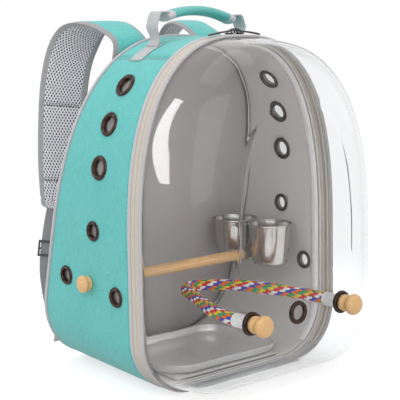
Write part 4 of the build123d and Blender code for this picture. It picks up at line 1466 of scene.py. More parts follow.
@dataclass
class ZipBand(Maker):
    """Bindings, tape and coils of the zip between the shell and the door."""

    end_z: float = 14 * MM
    stations: int = 420
    tooth: float = 2.6 * MM
    coil_depth: float = 12.5 * MM
    gusset_thick: float = 1.2 * MM
    fold_thick: float = 1.6 * MM

    def build(self) -> None:
        """Builds the bands from the shell to the door."""
        rim = [(-0.3, -0.2), (-0.75, -0.8), (-0.8, -2.0), (-0.45, -2.5), (-0.75, -3.0), (-0.7, -4.3)]
        rim += [(-0.1, -4.9), (2.3, -4.9), (2.5, -0.4), (0.4, -0.2)]
        self._band("rim_band", rim, "shell", "rim_binding", "pale_grosgrain", "light_binding", whole=True)
        near = [(0.55, -5.2), (0.35, -6.0), (0.5, -8.6), (0.35, -10.6), (0.7, -12.3)]
        near += [(1.7, -12.3), (1.7, -5.2)]
        self._band("zip_tape_on_shell", near, "shell", "zip_tape_shell", "beige_tape", "beige_tape")
        far = [(0.7, -12.7), (0.35, -14.4), (0.5, -16.6), (0.35, -19.0), (0.6, -19.9)]
        far += [(1.7, -19.9), (1.7, -12.7)]
        self._band("zip_tape_on_door", far, "door", "zip_tape_door", "beige_tape", "beige_tape")
        door = [(0.0, -20.2), (-0.7, -20.5), (-0.8, -21.4), (-0.3, -21.8), (-0.6, -22.2), (-0.75, -23.2)]
        door += [(-0.6, -24.2), (0.3, -24.9), (2.2, -24.9), (2.4, -20.3)]
        self._band("door_band", door, "door", "door_binding", "grey_grosgrain", "light_binding")
        self._coil("zip_coil_on_shell", "shell", "zip_teeth_shell", -1)
        self._coil("zip_coil_on_door", "door", "zip_teeth_door", 1)
        self._stitching()
        self._gussets()
        self._fold()

    def _path(self, inset: float, whole: bool, steps: int) -> list[Vector]:
        """Outline at an inset, round from one zip end to the other, or closed.

        Args:
            inset: distance inside the panels' face, in mm.
            whole: whether it runs on under the base.
            steps: how many steps.

        Returns:
            Points across and up.
        """
        ring = ARCH.ring(inset * MM, ARCH.front_corner)
        if whole:
            return even(ring + ring[:1], steps)[:-1]
        low = self.end_z + 0.3 * MM
        first = next(at for at, (_, z) in enumerate(ring) if z > low)
        end = self._level(ring[first - 1], ring[first], low)
        run = [end, *ring[first : len(ring) - first + 1], (-end[0], end[1])]
        return even(run, steps)

    @staticmethod
    def _level(below: Point, above: Point, z: float) -> Point:
        """The point at a height between two points of an outline."""
        share = (z - below[1]) / (above[1] - below[1])
        return (below[0] + (above[0] - below[0]) * share, z)

    def _band(
        self,
        name: str,
        section: Sequence[Point],
        body: str,
        node: str,
        finish: str,
        slot: str,
        whole: bool = False,
    ) -> None:
        """One band round the front.

        Args:
            name: the piece's name.
            section: its cross-section as insets and distances behind the rim, in mm.
            body: the CAD body it rides on.
            node: the CAD node it stands for.
            finish: its material on the outer faces; the inner faces take a lighter copy of the tape as
                painted light.
            slot: the record's material slot.
            whole: whether it runs on under the base.
        """
        paths = [self._path(inset, whole, self.stations) for inset, _ in section]
        rows = []
        for at in range(len(paths[0])):
            place = Vector((paths[0][at][0], 0, paths[0][at][1]))
            shift = wave(place, 34 * MM, 71.0) * 0.12 * MM
            row = []
            for path, (_, y) in zip(paths, section):
                x, z = path[at]
                ripple = wave(Vector((x, y * MM, z)), 8 * MM, 73.0) * 0.06 * MM
                row.append(Vector((x, RIM_Y + y * MM + shift * 0.5, z + (ripple if z > 4 * MM else 0.0))))
            rows.append(row)
        if whole:
            rows.append([p.copy() for p in rows[0]])
        made = Mesh(name)
        insets = [inset for inset, _ in section]
        # Faces on the inside get the lighter copy of the tape, as painted light.
        inside = [min(a, b) > 1.5 for a, b in zip(insets, insets[1:] + insets[:1])]
        made.rows(rows, closed=True, capped=not whole, slots=lambda at: int(inside[at]))
        piece = self.piece(made, body, node, slot=slot)
        self.finishes.dress(piece, finish, "cream_tape_back")

    def _coil(self, name: str, body: str, node: str, way: int) -> None:
        """Coil of one half of the zip: a small rounded tooth every pitch.

        Args:
            name: the piece's name.
            body: the CAD body it rides on.
            node: the CAD node it stands for.
            way: 1 for the half behind the middle, -1 for the half before it.
        """
        outer, inner = self._path(1.95, False, 900), self._path(2.95, False, 900)
        count = int(sum(math.dist(a, b) for a, b in zip(outer, outer[1:])) / self.tooth)
        outer, inner = even(outer, count), even(inner, count)
        made = Mesh(name)
        shift = 0.25 if way > 0 else 0.75
        for start, after, deeper in zip(outer, outer[1:], inner):
            along = (after - start).normalized()
            deep = (deeper - start).normalized()
            middle = start.lerp(after, shift)
            rows = []
            for near, half in ((-0.1, 0.55), (0.5, 0.42), (1.9, 0.45), (2.5, 0.25)):
                y = RIM_Y - self.coil_depth - way * near * MM
                ring = []
                for s, t in ((-half, 0.1), (half, 0.1), (half, 0.8), (-half, 0.8)):
                    spot = middle + along * (s * MM) + deep * (t * MM)
                    ring.append(Vector((spot.x, y, spot.y)))
                rows.append(ring)
            made.rows(rows, closed=True, capped=True)
        bmesh.ops.recalc_face_normals(made.bm, faces=made.bm.faces)
        piece = made.finish(body, node, slot="dark_plastic")
        self.finishes.dress(piece, "beige_coil")

    def _stitching(self) -> None:
        """Topstitching along the bands."""
        for name, body, inset, y in (
            ("rim_stitching", "shell", -0.75, -3.65),
            ("door_band_stitching", "door", -0.7, -23.2),
            ("tape_stitching", "shell", 0.4, -7.2),
        ):
            path = self._path(inset, False, 300)
            line = [Vector((x, RIM_Y + y * MM, z)) for x, z in path]
            outs = [ARCH.rim_out(x, z) for x, z in path]
            sizes = {"long": 2.2 * MM, "gap": 1.0 * MM, "thick": 0.4 * MM}
            self.thread(name, body, [(line, outs)], "pale_thread", **sizes)

    def _gussets(self) -> None:
        """Cloth corners below the zip's ends."""
        made = Mesh("bottom_corner_cloth")
        ring = ARCH.right_half(0.15 * MM, ARCH.front_corner)
        last = next(at for at, (_, z) in enumerate(ring) if z > self.end_z)
        end = self._level(ring[last - 1], ring[last], self.end_z - 0.1 * MM)
        part = even([*ring[ARCH.foot_steps : last], end], 24)
        for side in Side:
            rows = []
            for step in range(15):
                y = RIM_Y + (-5.3 - 19.5 * step / 14) * MM
                row = []
                for x, z in part:
                    slack = wave(Vector((x, y, z)), 9 * MM, 81.0) + 1
                    row.append(Vector((side.value * x, y, z + slack * 0.12 * MM)))
                rows.append(row)
            made.rows(rows)
        kind = {"slot": "light_binding", "dress": "pale_grosgrain"}
        self.piece(made, "shell", "corner_gussets", facing=Facing.DOWN, wall=self.gusset_thick, **kind)

    def _fold(self) -> None:
        """Cloth fold under the door, with a crease in the middle."""
        made = Mesh("bottom_fold")
        half = (ARCH.half - ARCH.front_corner) - 1.0 * MM
        rows = []
        for step in range(21):
            share = step / 20
            y = RIM_Y + (-6.9 - 25.7 * share) * MM
            crease = math.exp(-(((share - 0.5) / 0.05) ** 2)) * 0.25 * MM
            row = []
            for across in range(61):
                x = -half + 2 * half * across / 60
                ripple = (wave(Vector((x, y, 0)), 30 * MM, 91.0) + 1) * 0.15 * MM
                row.append(Vector((x, y, 1.0 * MM + ripple - crease)))
            rows.append(row)
        made.rows(rows)
        kind = {"slot": "melange_cloth", "dress": "fold_cloth", "facing": Facing.UP}
        self.piece(made, "fold", "door_fold", wall=self.fold_thick, offset=0.0, **kind)


# ---- clear door ----


@dataclass
class ClearDome(Maker):
    """Moulded clear dome with a raised window and three eyelets below it."""

    start: float = 21 * MM
    reach: float = 117 * MM
    wall: float = 2 * MM
    rounding: float = 50 * MM
    flange_in: float = 2.9 * MM
    side_in: float = 6 * MM
    top_in: float = 24 * MM
    floor_lift: float = 14 * MM
    corner: float = 68 * MM
    window_raise: float = 1.5 * MM
    window_low: float = 126 * MM
    window_in: float = -7 * MM
    window_corner: float = 26 * MM
    window_slope: float = 13 * MM
    face_rings: int = 80
    middle_z: float = 235 * MM
    eyelet_x: float = 75 * MM
    eyelet_z: float = 97 * MM
    eyelet_hole: float = 10.2 * MM
    bore_depth: float = 20 * MM

    def _section(self, distance: float, extra: float, wall: float) -> list[Vector]:
        """Outline of the dome at a distance in front of the rim.

        Args:
            distance: how far in front of the rim.
            extra: how much further in the rounding has drawn it.
            wall: how far inside the outer face.

        Returns:
            A ring of points.
        """
        share = max(distance - self.start, 0) / (self.reach - self.start)
        side = self.flange_in + (self.side_in - self.flange_in) * share + wall + extra
        roof = self.flange_in + (self.top_in - self.flange_in) * share**2 + wall + extra
        floor = self.flange_in + (self.floor_lift - self.flange_in) * share + wall + extra
        corner = self.corner - 0.35 * extra + side - wall - extra
        return [Vector((x, RIM_Y - distance, z)) for x, z in ARCH.ring(side, corner, roof, floor)]

    def _swell(self, x: float, z: float) -> float:
        """How far the raised window stands out at a point of the face.

        Args:
            x: the point's place across.
            z: its height.

        Returns:
            The distance.
        """
        side = self.side_in + self.rounding + self.window_in
        roof = self.top_in + self.rounding + self.window_in
        across = ARCH.side_x(z, side) - abs(x)
        above = ARCH.crown_z(x, roof) - z
        below = z - self.window_low
        room = min(across, above, below)
        if max(across, below) < self.window_corner:
            room = self.window_corner - math.hypot(self.window_corner - across, self.window_corner - below)
        return self.window_raise * ease(room / self.window_slope)

    def _skin(self, wall: float) -> list[list[Vector]]:
        """Rings of one face of the dome's wall, from the flange to near the window's middle.

        Args:
            wall: how far inside the outer face.

        Returns:
            The rings of points.
        """
        rounding = self.rounding - wall
        face = self.reach - wall
        straight = face - rounding
        rows = [self._section(self.start + (straight - self.start) * s / 8, 0, wall) for s in range(8)]
        for step in range(25):
            turn = math.pi / 2 * step / 24
            drawn = rounding * (1 - math.cos(turn))
            rows.append(self._section(straight + rounding * math.sin(turn), drawn, wall))
        low = rows[-1]
        middle = Vector((0, low[0].y, self.middle_z))
        for step in range(1, self.face_rings):
            rows.append([point.lerp(middle, step / self.face_rings) for point in low])
        for row in rows[-self.face_rings - 8 :]:
            for point in row:
                point.y -= self._swell(point.x, point.z)
        return rows

    def build(self) -> None:
        """Builds the dome and drills the eyelets' holes."""
        made = Mesh("clear_dome_shell")
        rows = self._skin(0.0)[::-1] + self._skin(self.wall)
        made.rows(rows, closed=True, capped=True)
        piece = self.piece(made, "door", "dome", slot="clear_dome")
        bores = []
        for x in (-self.eyelet_x, 0.0, self.eyelet_x):
            centre = Vector((x, RIM_Y - self.reach, self.eyelet_z))
            bores.append((centre, Vector((0, -1, 0)), self.eyelet_hole))
        drilled(piece, bores, self.bore_depth)
        self.finishes.dress(piece, "clear_dome")


# ---- edges, tabs and back cushion ----


@dataclass
class BackTrim(Maker):
    """Piping round the back, the sewn tabs, the floor mat and the cushion against the wearer's back."""

    patch_half: float = 11.4 * MM
    stitch_half: float = 8.8 * MM
    mat_front: float = 86.5 * MM
    mat_back: float = 64 * MM
    mat_z: float = 6.3 * MM
    cushion_in: float = 43 * MM
    cushion_top: float = 372 * MM
    cushion_off: float = 1.6 * MM
    cushion_thick: float = 5.5 * MM
    swell_cap: float = 4.5 * MM
    voxel: float = 4.0 * MM
    pressure: float = 4.0
    quilt_x: float = 34 * MM
    quilt_levels: tuple[float, ...] = (105 * MM, 175 * MM, 245 * MM, 315 * MM)
    quilt_slope: float = 0.35
    quilt_width: float = 4.5 * MM
    quilt_depth: float = 3.4 * MM

    def build(self) -> None:
        """Builds the trim and the cushion."""
        self._piping()
        self._tabs()
        self._patches()
        self._mat()
        self._cushion()

    def _piping(self) -> None:
        """Folded binding round the back edge."""
        section = [(0.5, 0.2), (-0.9, 0.3), (-2.0, 1.0), (-2.3, 2.1), (-1.9, 3.3), (-0.8, 4.1), (1.2, 4.3)]
        section += [(2.8, 4.1), (2.9, 3.2), (2.9, 0.3)]
        rings = [ARCH.ring(inset * MM, ARCH.back_corner) for inset, _ in section]
        count = 460
        paths = [even(ring + ring[:1], count) for ring in rings]
        rows = []
        for at in range(count):
            row = []
            for path, (_, away) in zip(paths, section):
                x, z = path[at]
                pucker = 1 + 0.06 * wave(Vector((x, away * MM, z)), 9 * MM, 101.0)
                row.append(Vector((x, ARCH.back_y(z) + away * MM * pucker, z)))
            rows.append(row)
        rows.append([p.copy() for p in rows[0]])
        made = Mesh("back_edge_binding")
        made.rows(rows, closed=True)
        self.piece(made, "shell", "back_piping", slot="light_binding", dress="pale_grosgrain")

    def _tabs(self) -> None:
        """Short folded tabs that hold the straps, top and bottom."""
        for name, node, x, low, high, half, away, lean, bulge in (
            ("strap_foot_tabs", "strap_bottom_tabs", 126.0, 27.5, 54.5, 12.6, 5.6, 0.0, 0.25),
            ("strap_head_tabs", "strap_top_tabs", 66.0, 405.8, 411.0, 6.8, 9.9, 0.35, 0.0),
        ):
            made = Mesh(name)
            for side in Side:
                rows = []
                for step in range(9):
                    z = (low + (high - low) * step / 8) * MM
                    y = ARCH.back_y(z) + away * MM - (high * MM - z) * lean
                    lift = (1 + bulge * math.sin(math.pi * step / 8)) * MM
                    wide = Vector((half * MM, 0, 0))
                    spot = Vector((side.value * x * MM, y, z))
                    rows.append(oval(spot, wide, Vector((0, lift, 0)), 16, (0.35, 0.6)))
                made.rows(rows, closed=True, capped=True)
            self.piece(made, "shell", node, slot="light_binding", dress="pale_grosgrain")

    def _patches(self) -> None:
        """Ends of the handle's webbing, sewn to the crown, with a box of stitches."""
        made = Mesh("handle_sewn_ends")
        lines = []
        for side in Side:
            rows = []
            left, right = [], []
            for step in range(15):
                share = step / 14
                x = (64 + 31.5 * share) * MM
                lean = (share - 0.2) * 5.0 * MM
                z = ARCH.crown_z(x)
                out = ARCH.outward(side.value * x, z)
                spot = Vector((side.value * x, HANDLE_Y + lean, z))
                half = Vector((0, self.patch_half, 0))
                rows.append(oval(spot + out * 0.75 * MM, half, out * 0.65 * MM, 14, (0.3, 0.6)))
                if share > 0.2:
                    middle = spot + out * 1.35 * MM
                    left.append((middle - Vector((0, self.stitch_half, 0)), out))
                    right.append((middle + Vector((0, self.stitch_half, 0)), out))
            made.rows(rows, closed=True, capped=True)
            ring = left + right[::-1] + left[:1]
            lines.append(([spot for spot, _ in ring], [out for _, out in ring]))
            for cross in ([left[0], right[-1]], [right[0], left[-1]]):
                lines.append(([spot + out * 0.2 * MM for spot, out in cross], [out for _, out in cross]))
        self.piece(made, "shell", "handle_patches", slot="light_binding", dress="handle_webbing")
        self.thread("handle_end_stitches", "shell", lines, "pale_thread", thick=0.45 * MM)

    def _mat(self) -> None:
        """Cloth mat over the floor board."""
        made = Mesh("floor_mat_cloth")
        rows = []
        for step in range(25):
            share = step / 24
            y = RIM_Y + (3.5 + 173.0 * share) * MM
            half = self.mat_front + (self.mat_back - self.mat_front) * share
            row = []
            for across in range(33):
                x = -half + 2 * half * across / 32
                ripple = (wave(Vector((x, y, 0)), 40 * MM, 111.0) + 1) * 0.06 * MM
                row.append(Vector((x, y, self.mat_z + ripple)))
            rows.append(row)
        made.rows(rows)
        # The mat wears the lighter copy of the lining cloth: painted light.
        kind = {"slot": "grey_lining", "dress": "grey_lining"}
        self.piece(made, "shell", "floor_mat", facing=Facing.UP, wall=1.0 * MM, **kind)

    def _cushion(self) -> None:
        """Quilted air-mesh cushion, swollen by a short cloth simulation."""
        outline = ARCH.ring(self.cushion_in, ARCH.back_corner)
        outline = [(x, min(z, self.cushion_top)) for x, z in outline]

        def face(away: float) -> Callable[[float, float], Vector]:
            """The cushion's face at a distance off the back."""
            return lambda x, z: Vector((x, ARCH.back_y(z) + away, z))

        near = Shell.sheet(outline, 20, face(self.cushion_off))
        far = Shell.sheet(outline, 20, face(self.cushion_off + self.cushion_thick))
        made = Mesh("back_cushion")
        made.rows([*near[::-1], *far], closed=True, capped=True)
        piece = self.piece(made, "shell", "back_pad", slot="air_mesh")
        self._swell(piece)
        self._quilt(piece)
        smooth = piece.modifiers.new("smooth", "SUBSURF")
        smooth.levels = smooth.render_levels = 1
        for polygon in piece.data.polygons:
            polygon.use_smooth = True
        self.finishes.dress(piece, "cushion_mesh")
        self._cushion_edge(outline)

    def _swell(self, piece: bpy.types.Object) -> None:
        """Remeshes the pad, lets cloth pressure swell it and caps how far each point moves.

        Args:
            piece: the pad.
        """
        scene = bpy.context.scene
        frames = 20
        grid = piece.modifiers.new("grid", "REMESH")
        grid.mode = "VOXEL"
        grid.voxel_size = self.voxel
        applied(piece)
        start = [v.co.copy() for v in piece.data.vertices]
        cloth = piece.modifiers.new("cloth", "CLOTH")
        cloth.settings.use_pressure = True
        cloth.settings.uniform_pressure_force = self.pressure
        cloth.settings.effector_weights.gravity = 0.0
        cloth.settings.quality = 5
        cloth.point_cache.frame_start, cloth.point_cache.frame_end = 1, frames
        scene.frame_start, scene.frame_end = 1, frames
        for step in range(1, frames + 1):
            scene.frame_set(step)
        applied(piece)
        scene.frame_set(1)
        for v, place in zip(piece.data.vertices, start):
            move = v.co - place
            if move.length > self.swell_cap:
                move = move.normalized() * self.swell_cap
            move.x *= 0.3
            move.z *= 0.3
            v.co = place + move
            floor = ARCH.back_y(v.co.z) + 0.5 * MM
            v.co.y = max(v.co.y, floor)

    def _quilt(self, piece: bpy.types.Object) -> None:
        """Presses sewn channels into the cushion's outer face.

        Args:
            piece: the cushion.
        """
        for v in piece.data.vertices:
            away = v.co.y - ARCH.back_y(v.co.z)
            if away < 3.0 * MM:
                continue
            lines = [abs(abs(v.co.x) - self.quilt_x)]
            lines += [abs(v.co.z - abs(v.co.x) * self.quilt_slope - level) for level in self.quilt_levels]
            press = sum(math.exp(-((line / self.quilt_width) ** 2)) for line in lines)
            crown = 0.8 * MM * math.cos(v.co.x * math.pi / (190 * MM))
            v.co.y += crown - min(press, 1.0) * self.quilt_depth

    def _cushion_edge(self, outline: list[Point]) -> None:
        """Binding round the cushion and its stitches.

        Args:
            outline: the cushion's edge, across and up.
        """
        path = even(outline + outline[:1], 300)[:-1]
        up = Vector((0, 1, 0))
        rows, line = [], []
        for before, (x, z), after in zip(path[-1:] + path, path, path[1:] + path[:1]):
            out = Vector((after.y - before.y, 0, before.x - after.x)).normalized()
            middle = Vector((x, ARCH.back_y(z) + 3.0 * MM, z)) - out * 0.5 * MM
            rows.append(oval(middle, out * 3.0 * MM, up * 2.6 * MM, 10))
            line.append(middle + up * 2.7 * MM)
        rows.append([p.copy() for p in rows[0]])
        made = Mesh("cushion_binding")
        made.rows(rows, closed=True)
        self.piece(made, "shell", slot="light_binding", dress="pale_grosgrain")
        self.thread("cushion_stitches", "shell", [(line, [up] * len(line))], "pale_thread")


# ---- soft strips: straps and handle ----


@dataclass(frozen=True)
class Station:
    """One place along a strap: shares of the way out and down, distance off the back, width and twist."""

    out: float
    down: float
    off: float
    width: float
    twist: float


def smoothed(rows: Sequence[Sequence[float]], steps: int) -> list[tuple[float, ...]]:
    """Smooth curve through rows of numbers, divided evenly between them.

    Args:
        rows: what the curve passes through.
        steps: how many steps between two rows.

    Returns:
        The rows of the curve.
    """

    def between(p: float, q: float, r: float, s: float, t: float) -> float:
        """A number at a share of the way from the second to the third of four."""
        bend, curl = 2 * p - 5 * q + 4 * r - s, 3 * q - p - 3 * r + s
        return 0.5 * (2 * q + (r - p) * t + bend * t * t + curl * t**3)

    made = []
    for at in range(len(rows) - 1):
        near = [rows[min(max(at + k, 0), len(rows) - 1)] for k in (-1, 0, 1, 2)]
        for step in range(steps):
            made.append(tuple(between(*four, step / steps) for four in zip(*near)))
    made.append(tuple(rows[-1]))
    return made


@dataclass
class Straps(Maker):
    """Padded shoulder straps with their webbing and adjusters."""

    head_x: float = 66 * MM
    head_z: float = 412 * MM
    foot_x: float = 126 * MM
    foot_z: float = 53 * MM
    thick: float = 9.6 * MM
    bound: float = 0.76
    pad: tuple[Station, ...] = (
        Station(0.0, 0.055, 10.4, 53.0, 0.0),
        Station(0.0, 0.0, 11.8, 54.0, 0.0),
        Station(0.0, -0.034, 28.0, 56.0, 4.0),
        Station(0.025, -0.064, 58.0, 60.0, 12.0),
        Station(0.1, -0.062, 86.0, 59.0, 22.0),
        Station(0.18, -0.026, 107.0, 61.0, 31.0),
        Station(0.25, 0.05, 119.5, 62.0, 38.0),
        Station(0.3, 0.167, 120.5, 63.0, 40.0),
        Station(0.32, 0.312, 114.0, 63.0, 40.0),
        Station(0.35, 0.451, 105.0, 60.0, 40.0),
        Station(0.42, 0.568, 94.5, 51.0, 40.0),
        Station(0.46, 0.589, 94.0, 46.0, 40.0),
        Station(0.482, 0.605, 92.4, 37.0, 39.5),
        Station(0.49, 0.611, 91.8, 26.0, 39.0),
    )
    webbing: tuple[Station, ...] = (
        Station(0.44, 0.57, 95.4, 25.0, 40.0),
        Station(0.633, 0.688, 84.4, 25.0, 38.0),
        Station(0.85, 0.819, 64.5, 25.0, 30.0),
        Station(0.967, 0.936, 36.4, 25.0, 20.0),
        Station(1.0, 1.0, 14.8, 25.0, 10.0),
    )
    creases: tuple[float, ...] = (332 * MM, 231 * MM)
    crease: float = 3.0 * MM

    def _frames(
        self, stations: Sequence[Station], side: int, steps: int
    ) -> list[tuple[Vector, Vector, Vector, float]]:
        """The smooth run of a strap.

        Args:
            stations: what it passes through.
            side: 1 for the right, -1 for the left.
            steps: how many steps between two stations.

        Returns:
            Place, width direction, outward direction and width at each step.
        """
        rows = []
        for at in stations:
            z = self.head_z + (self.foot_z - self.head_z) * at.down
            x = self.head_x + (self.foot_x - self.head_x) * at.out
            rows.append((side * x, ARCH.back_y(z) + at.off * MM, z, at.width * MM, at.twist))
        line = smoothed(rows, steps)
        made = []
        for index, (x, y, z, width, twist) in enumerate(line):
            ahead = Vector(line[min(index + 1, len(line) - 1)][:3])
            behind = Vector(line[max(index - 1, 0)][:3])
            along = (ahead - behind).normalized()
            turn = math.radians(twist)
            across = Vector((side * math.cos(turn), math.sin(turn), 0))
            across = (across - along * across.dot(along)).normalized()
            outward = along.cross(across) * -side
            made.append((Vector((x, y, z)), across, outward, width))
        return made

    def build(self) -> None:
        """Builds both straps."""
        for side in Side:
            self._pad(side)
            self._webbing(side)
            self._adjuster(side)

    def _half(self, reach: float, end: float, press: float) -> float:
        """Half of the padding's thickness.

        Args:
            reach: place across the strap, as a share of half its width.
            end: 0 at the strap's ends and 1 away from them.
            press: how far the quilting presses it flat, from 0.

        Returns:
            The distance.
        """
        puff = (1 - reach**2.4) * (0.55 + 0.45 * end) * (1 - press)
        return self.thick / 2 * (0.34 + 0.66 * puff)

    def _section(self) -> list[Point]:
        """Outline across the padding: outer face, bound edge, inner face and the other bound edge.

        Returns:
            Places across and out, as shares of half the width and half the thickness.
        """
        flat = [-self.bound + 2 * self.bound * step / 8 for step in range(9)]
        edge = [(0.88, 0.8), (0.965, 0.42), (1.0, 0.0), (0.965, -0.42), (0.88, -0.8)]
        outer = [(s, 1.0) for s in flat] + edge
        return outer + [(-s, -t) for s, t in outer]

    def _pad(self, side: Side) -> None:
        """One padded strap: cloth outside, air mesh inside, bound edges and quilted creases, each crease
        lined with a wide dark seam thread that is partly painted shade.

        Args:
            side: which side.
        """
        frames = self._frames(self.pad, side.value, 24)
        section = self._section()
        rows = []
        edges = {1: ([], []), -1: ([], [])}
        seam = self.bound + 0.03
        for at, (place, across, outward, width) in enumerate(frames):
            share = at / (len(frames) - 1)
            press = sum(math.exp(-(((place.z - crease) / self.crease) ** 2)) for crease in self.creases)
            press = min(press, 1.0)
            end = ease(min(share, 1 - share) / 0.06)
            row = []
            for s, t in section:
                half = self.thick * 0.21
                if abs(t) == 1.0:
                    half = self._half(abs(s), end, (1.4 if t < 0 else 0.12) * press)
                spot = place + across * (s * width / 2) + outward * (half * t)
                spot += outward * (wave(spot, 22 * MM, 121.0) * 0.35 * MM * end)
                row.append(spot)
            rows.append(row)
            if 0.02 < share < 0.98:
                rise = outward * self._half(seam, end, 0.12 * press)
                for way, (spots, outs) in edges.items():
                    spots.append(place + across * (way * width / 2 * seam) + rise)
                    outs.append(outward)
        made = Mesh(f"strap_padding_{side.word}")

        def slots(at: int) -> int:
            """Cloth on the outer face, binding on the edges and air mesh on the inner face."""
            return 0 if at < 8 else 1 if at < 14 else 2 if at < 22 else 1

        made.rows(rows, closed=True, capped=True, slots=slots)
        body = f"strap_{side.word}"
        piece = self.piece(made, body, f"strap_pad_{side.word}", slot="air_mesh")
        self.finishes.dress(piece, "teal_melange", "strap_binding", "air_mesh")
        self.thread(f"strap_stitches_{side.word}", body, list(edges.values()), "pale_thread", thick=0.45 * MM)
        # A real seam along each crease, laid wide and dark as painted shade in the crease.
        seams = []
        for crease in self.creases:
            place, across, outward, width = min(frames[40:], key=lambda frame: abs(frame[0].z - crease))
            spots = [place + across * (width / 2 * s / 10) - outward * (0.9 * MM) for s in range(-7, 8)]
            seams.append((spots, [-outward] * len(spots)))
        sizes = {"long": 2.6 * MM, "gap": 0.5 * MM, "thick": 2.2 * MM}
        self.thread(f"strap_seams_{side.word}", body, seams, "seam_thread", **sizes)

    def _webbing(self, side: Side) -> None:
        """Lower webbing of one strap.

        Args:
            side: which side.
        """
        section = [(-1, 0.3), (-0.97, 0.9), (0, 1.0), (0.97, 0.9), (1, 0.3)]
        section += [(-s, -t) for s, t in section]
        rows = []
        for place, across, outward, width in self._frames(self.webbing, side.value, 16):
            rows.append([place + across * (s * width / 2) + outward * (t * 0.85 * MM) for s, t in section])
        made = Mesh(f"strap_lower_webbing_{side.word}")
        made.rows(rows, closed=True, capped=True)
        kind = {"slot": "grey_webbing", "dress": "strap_webbing"}
        self.piece(made, f"strap_{side.word}", f"strap_webbing_{side.word}", **kind)

    def _adjuster(self, side: Side) -> None:
        """Ladder buckle on the webbing: a rounded frame with two bars.

        Args:
            side: which side.
        """
        place, across, outward, _ = self._frames(self.webbing, side.value, 2)[3]
        along = across.cross(outward).normalized()
        turn = Matrix((across, along, outward)).transposed().to_4x4()
        bm = bmesh.new()
        for size, shift in (
            ((32.0, 3.2, 4.6), (0, 9.2, 0)),
            ((32.0, 3.2, 4.6), (0, -9.2, 0)),
            ((2.6, 21.0, 4.2), (14.7, 0, 0)),
            ((2.6, 21.0, 4.2), (-14.7, 0, 0)),
            ((28.0, 2.6, 1.6), (0, 0, 1.75)),
        ):
            cube = bmesh.ops.create_cube(bm, size=1.0)["verts"]
            bmesh.ops.scale(bm, vec=Vector(size) * MM, verts=cube)
            bmesh.ops.translate(bm, vec=Vector(shift) * MM, verts=cube)
            edges = list({e for v in cube for e in v.link_edges})
            shape = {"offset": 0.7 * MM, "segments": 2, "profile": 0.5}
            bmesh.ops.bevel(bm, geom=edges, affect="EDGES", material=-1, **shape)
        bm.transform(Matrix.Translation(place) @ turn)
        body = f"strap_adjuster_{side.word}"
        piece = settled(f"ladder_buckle_{side.word}", bm, body, body, slot="dark_plastic")
        self.finishes.dress(piece, "dark_plastic")


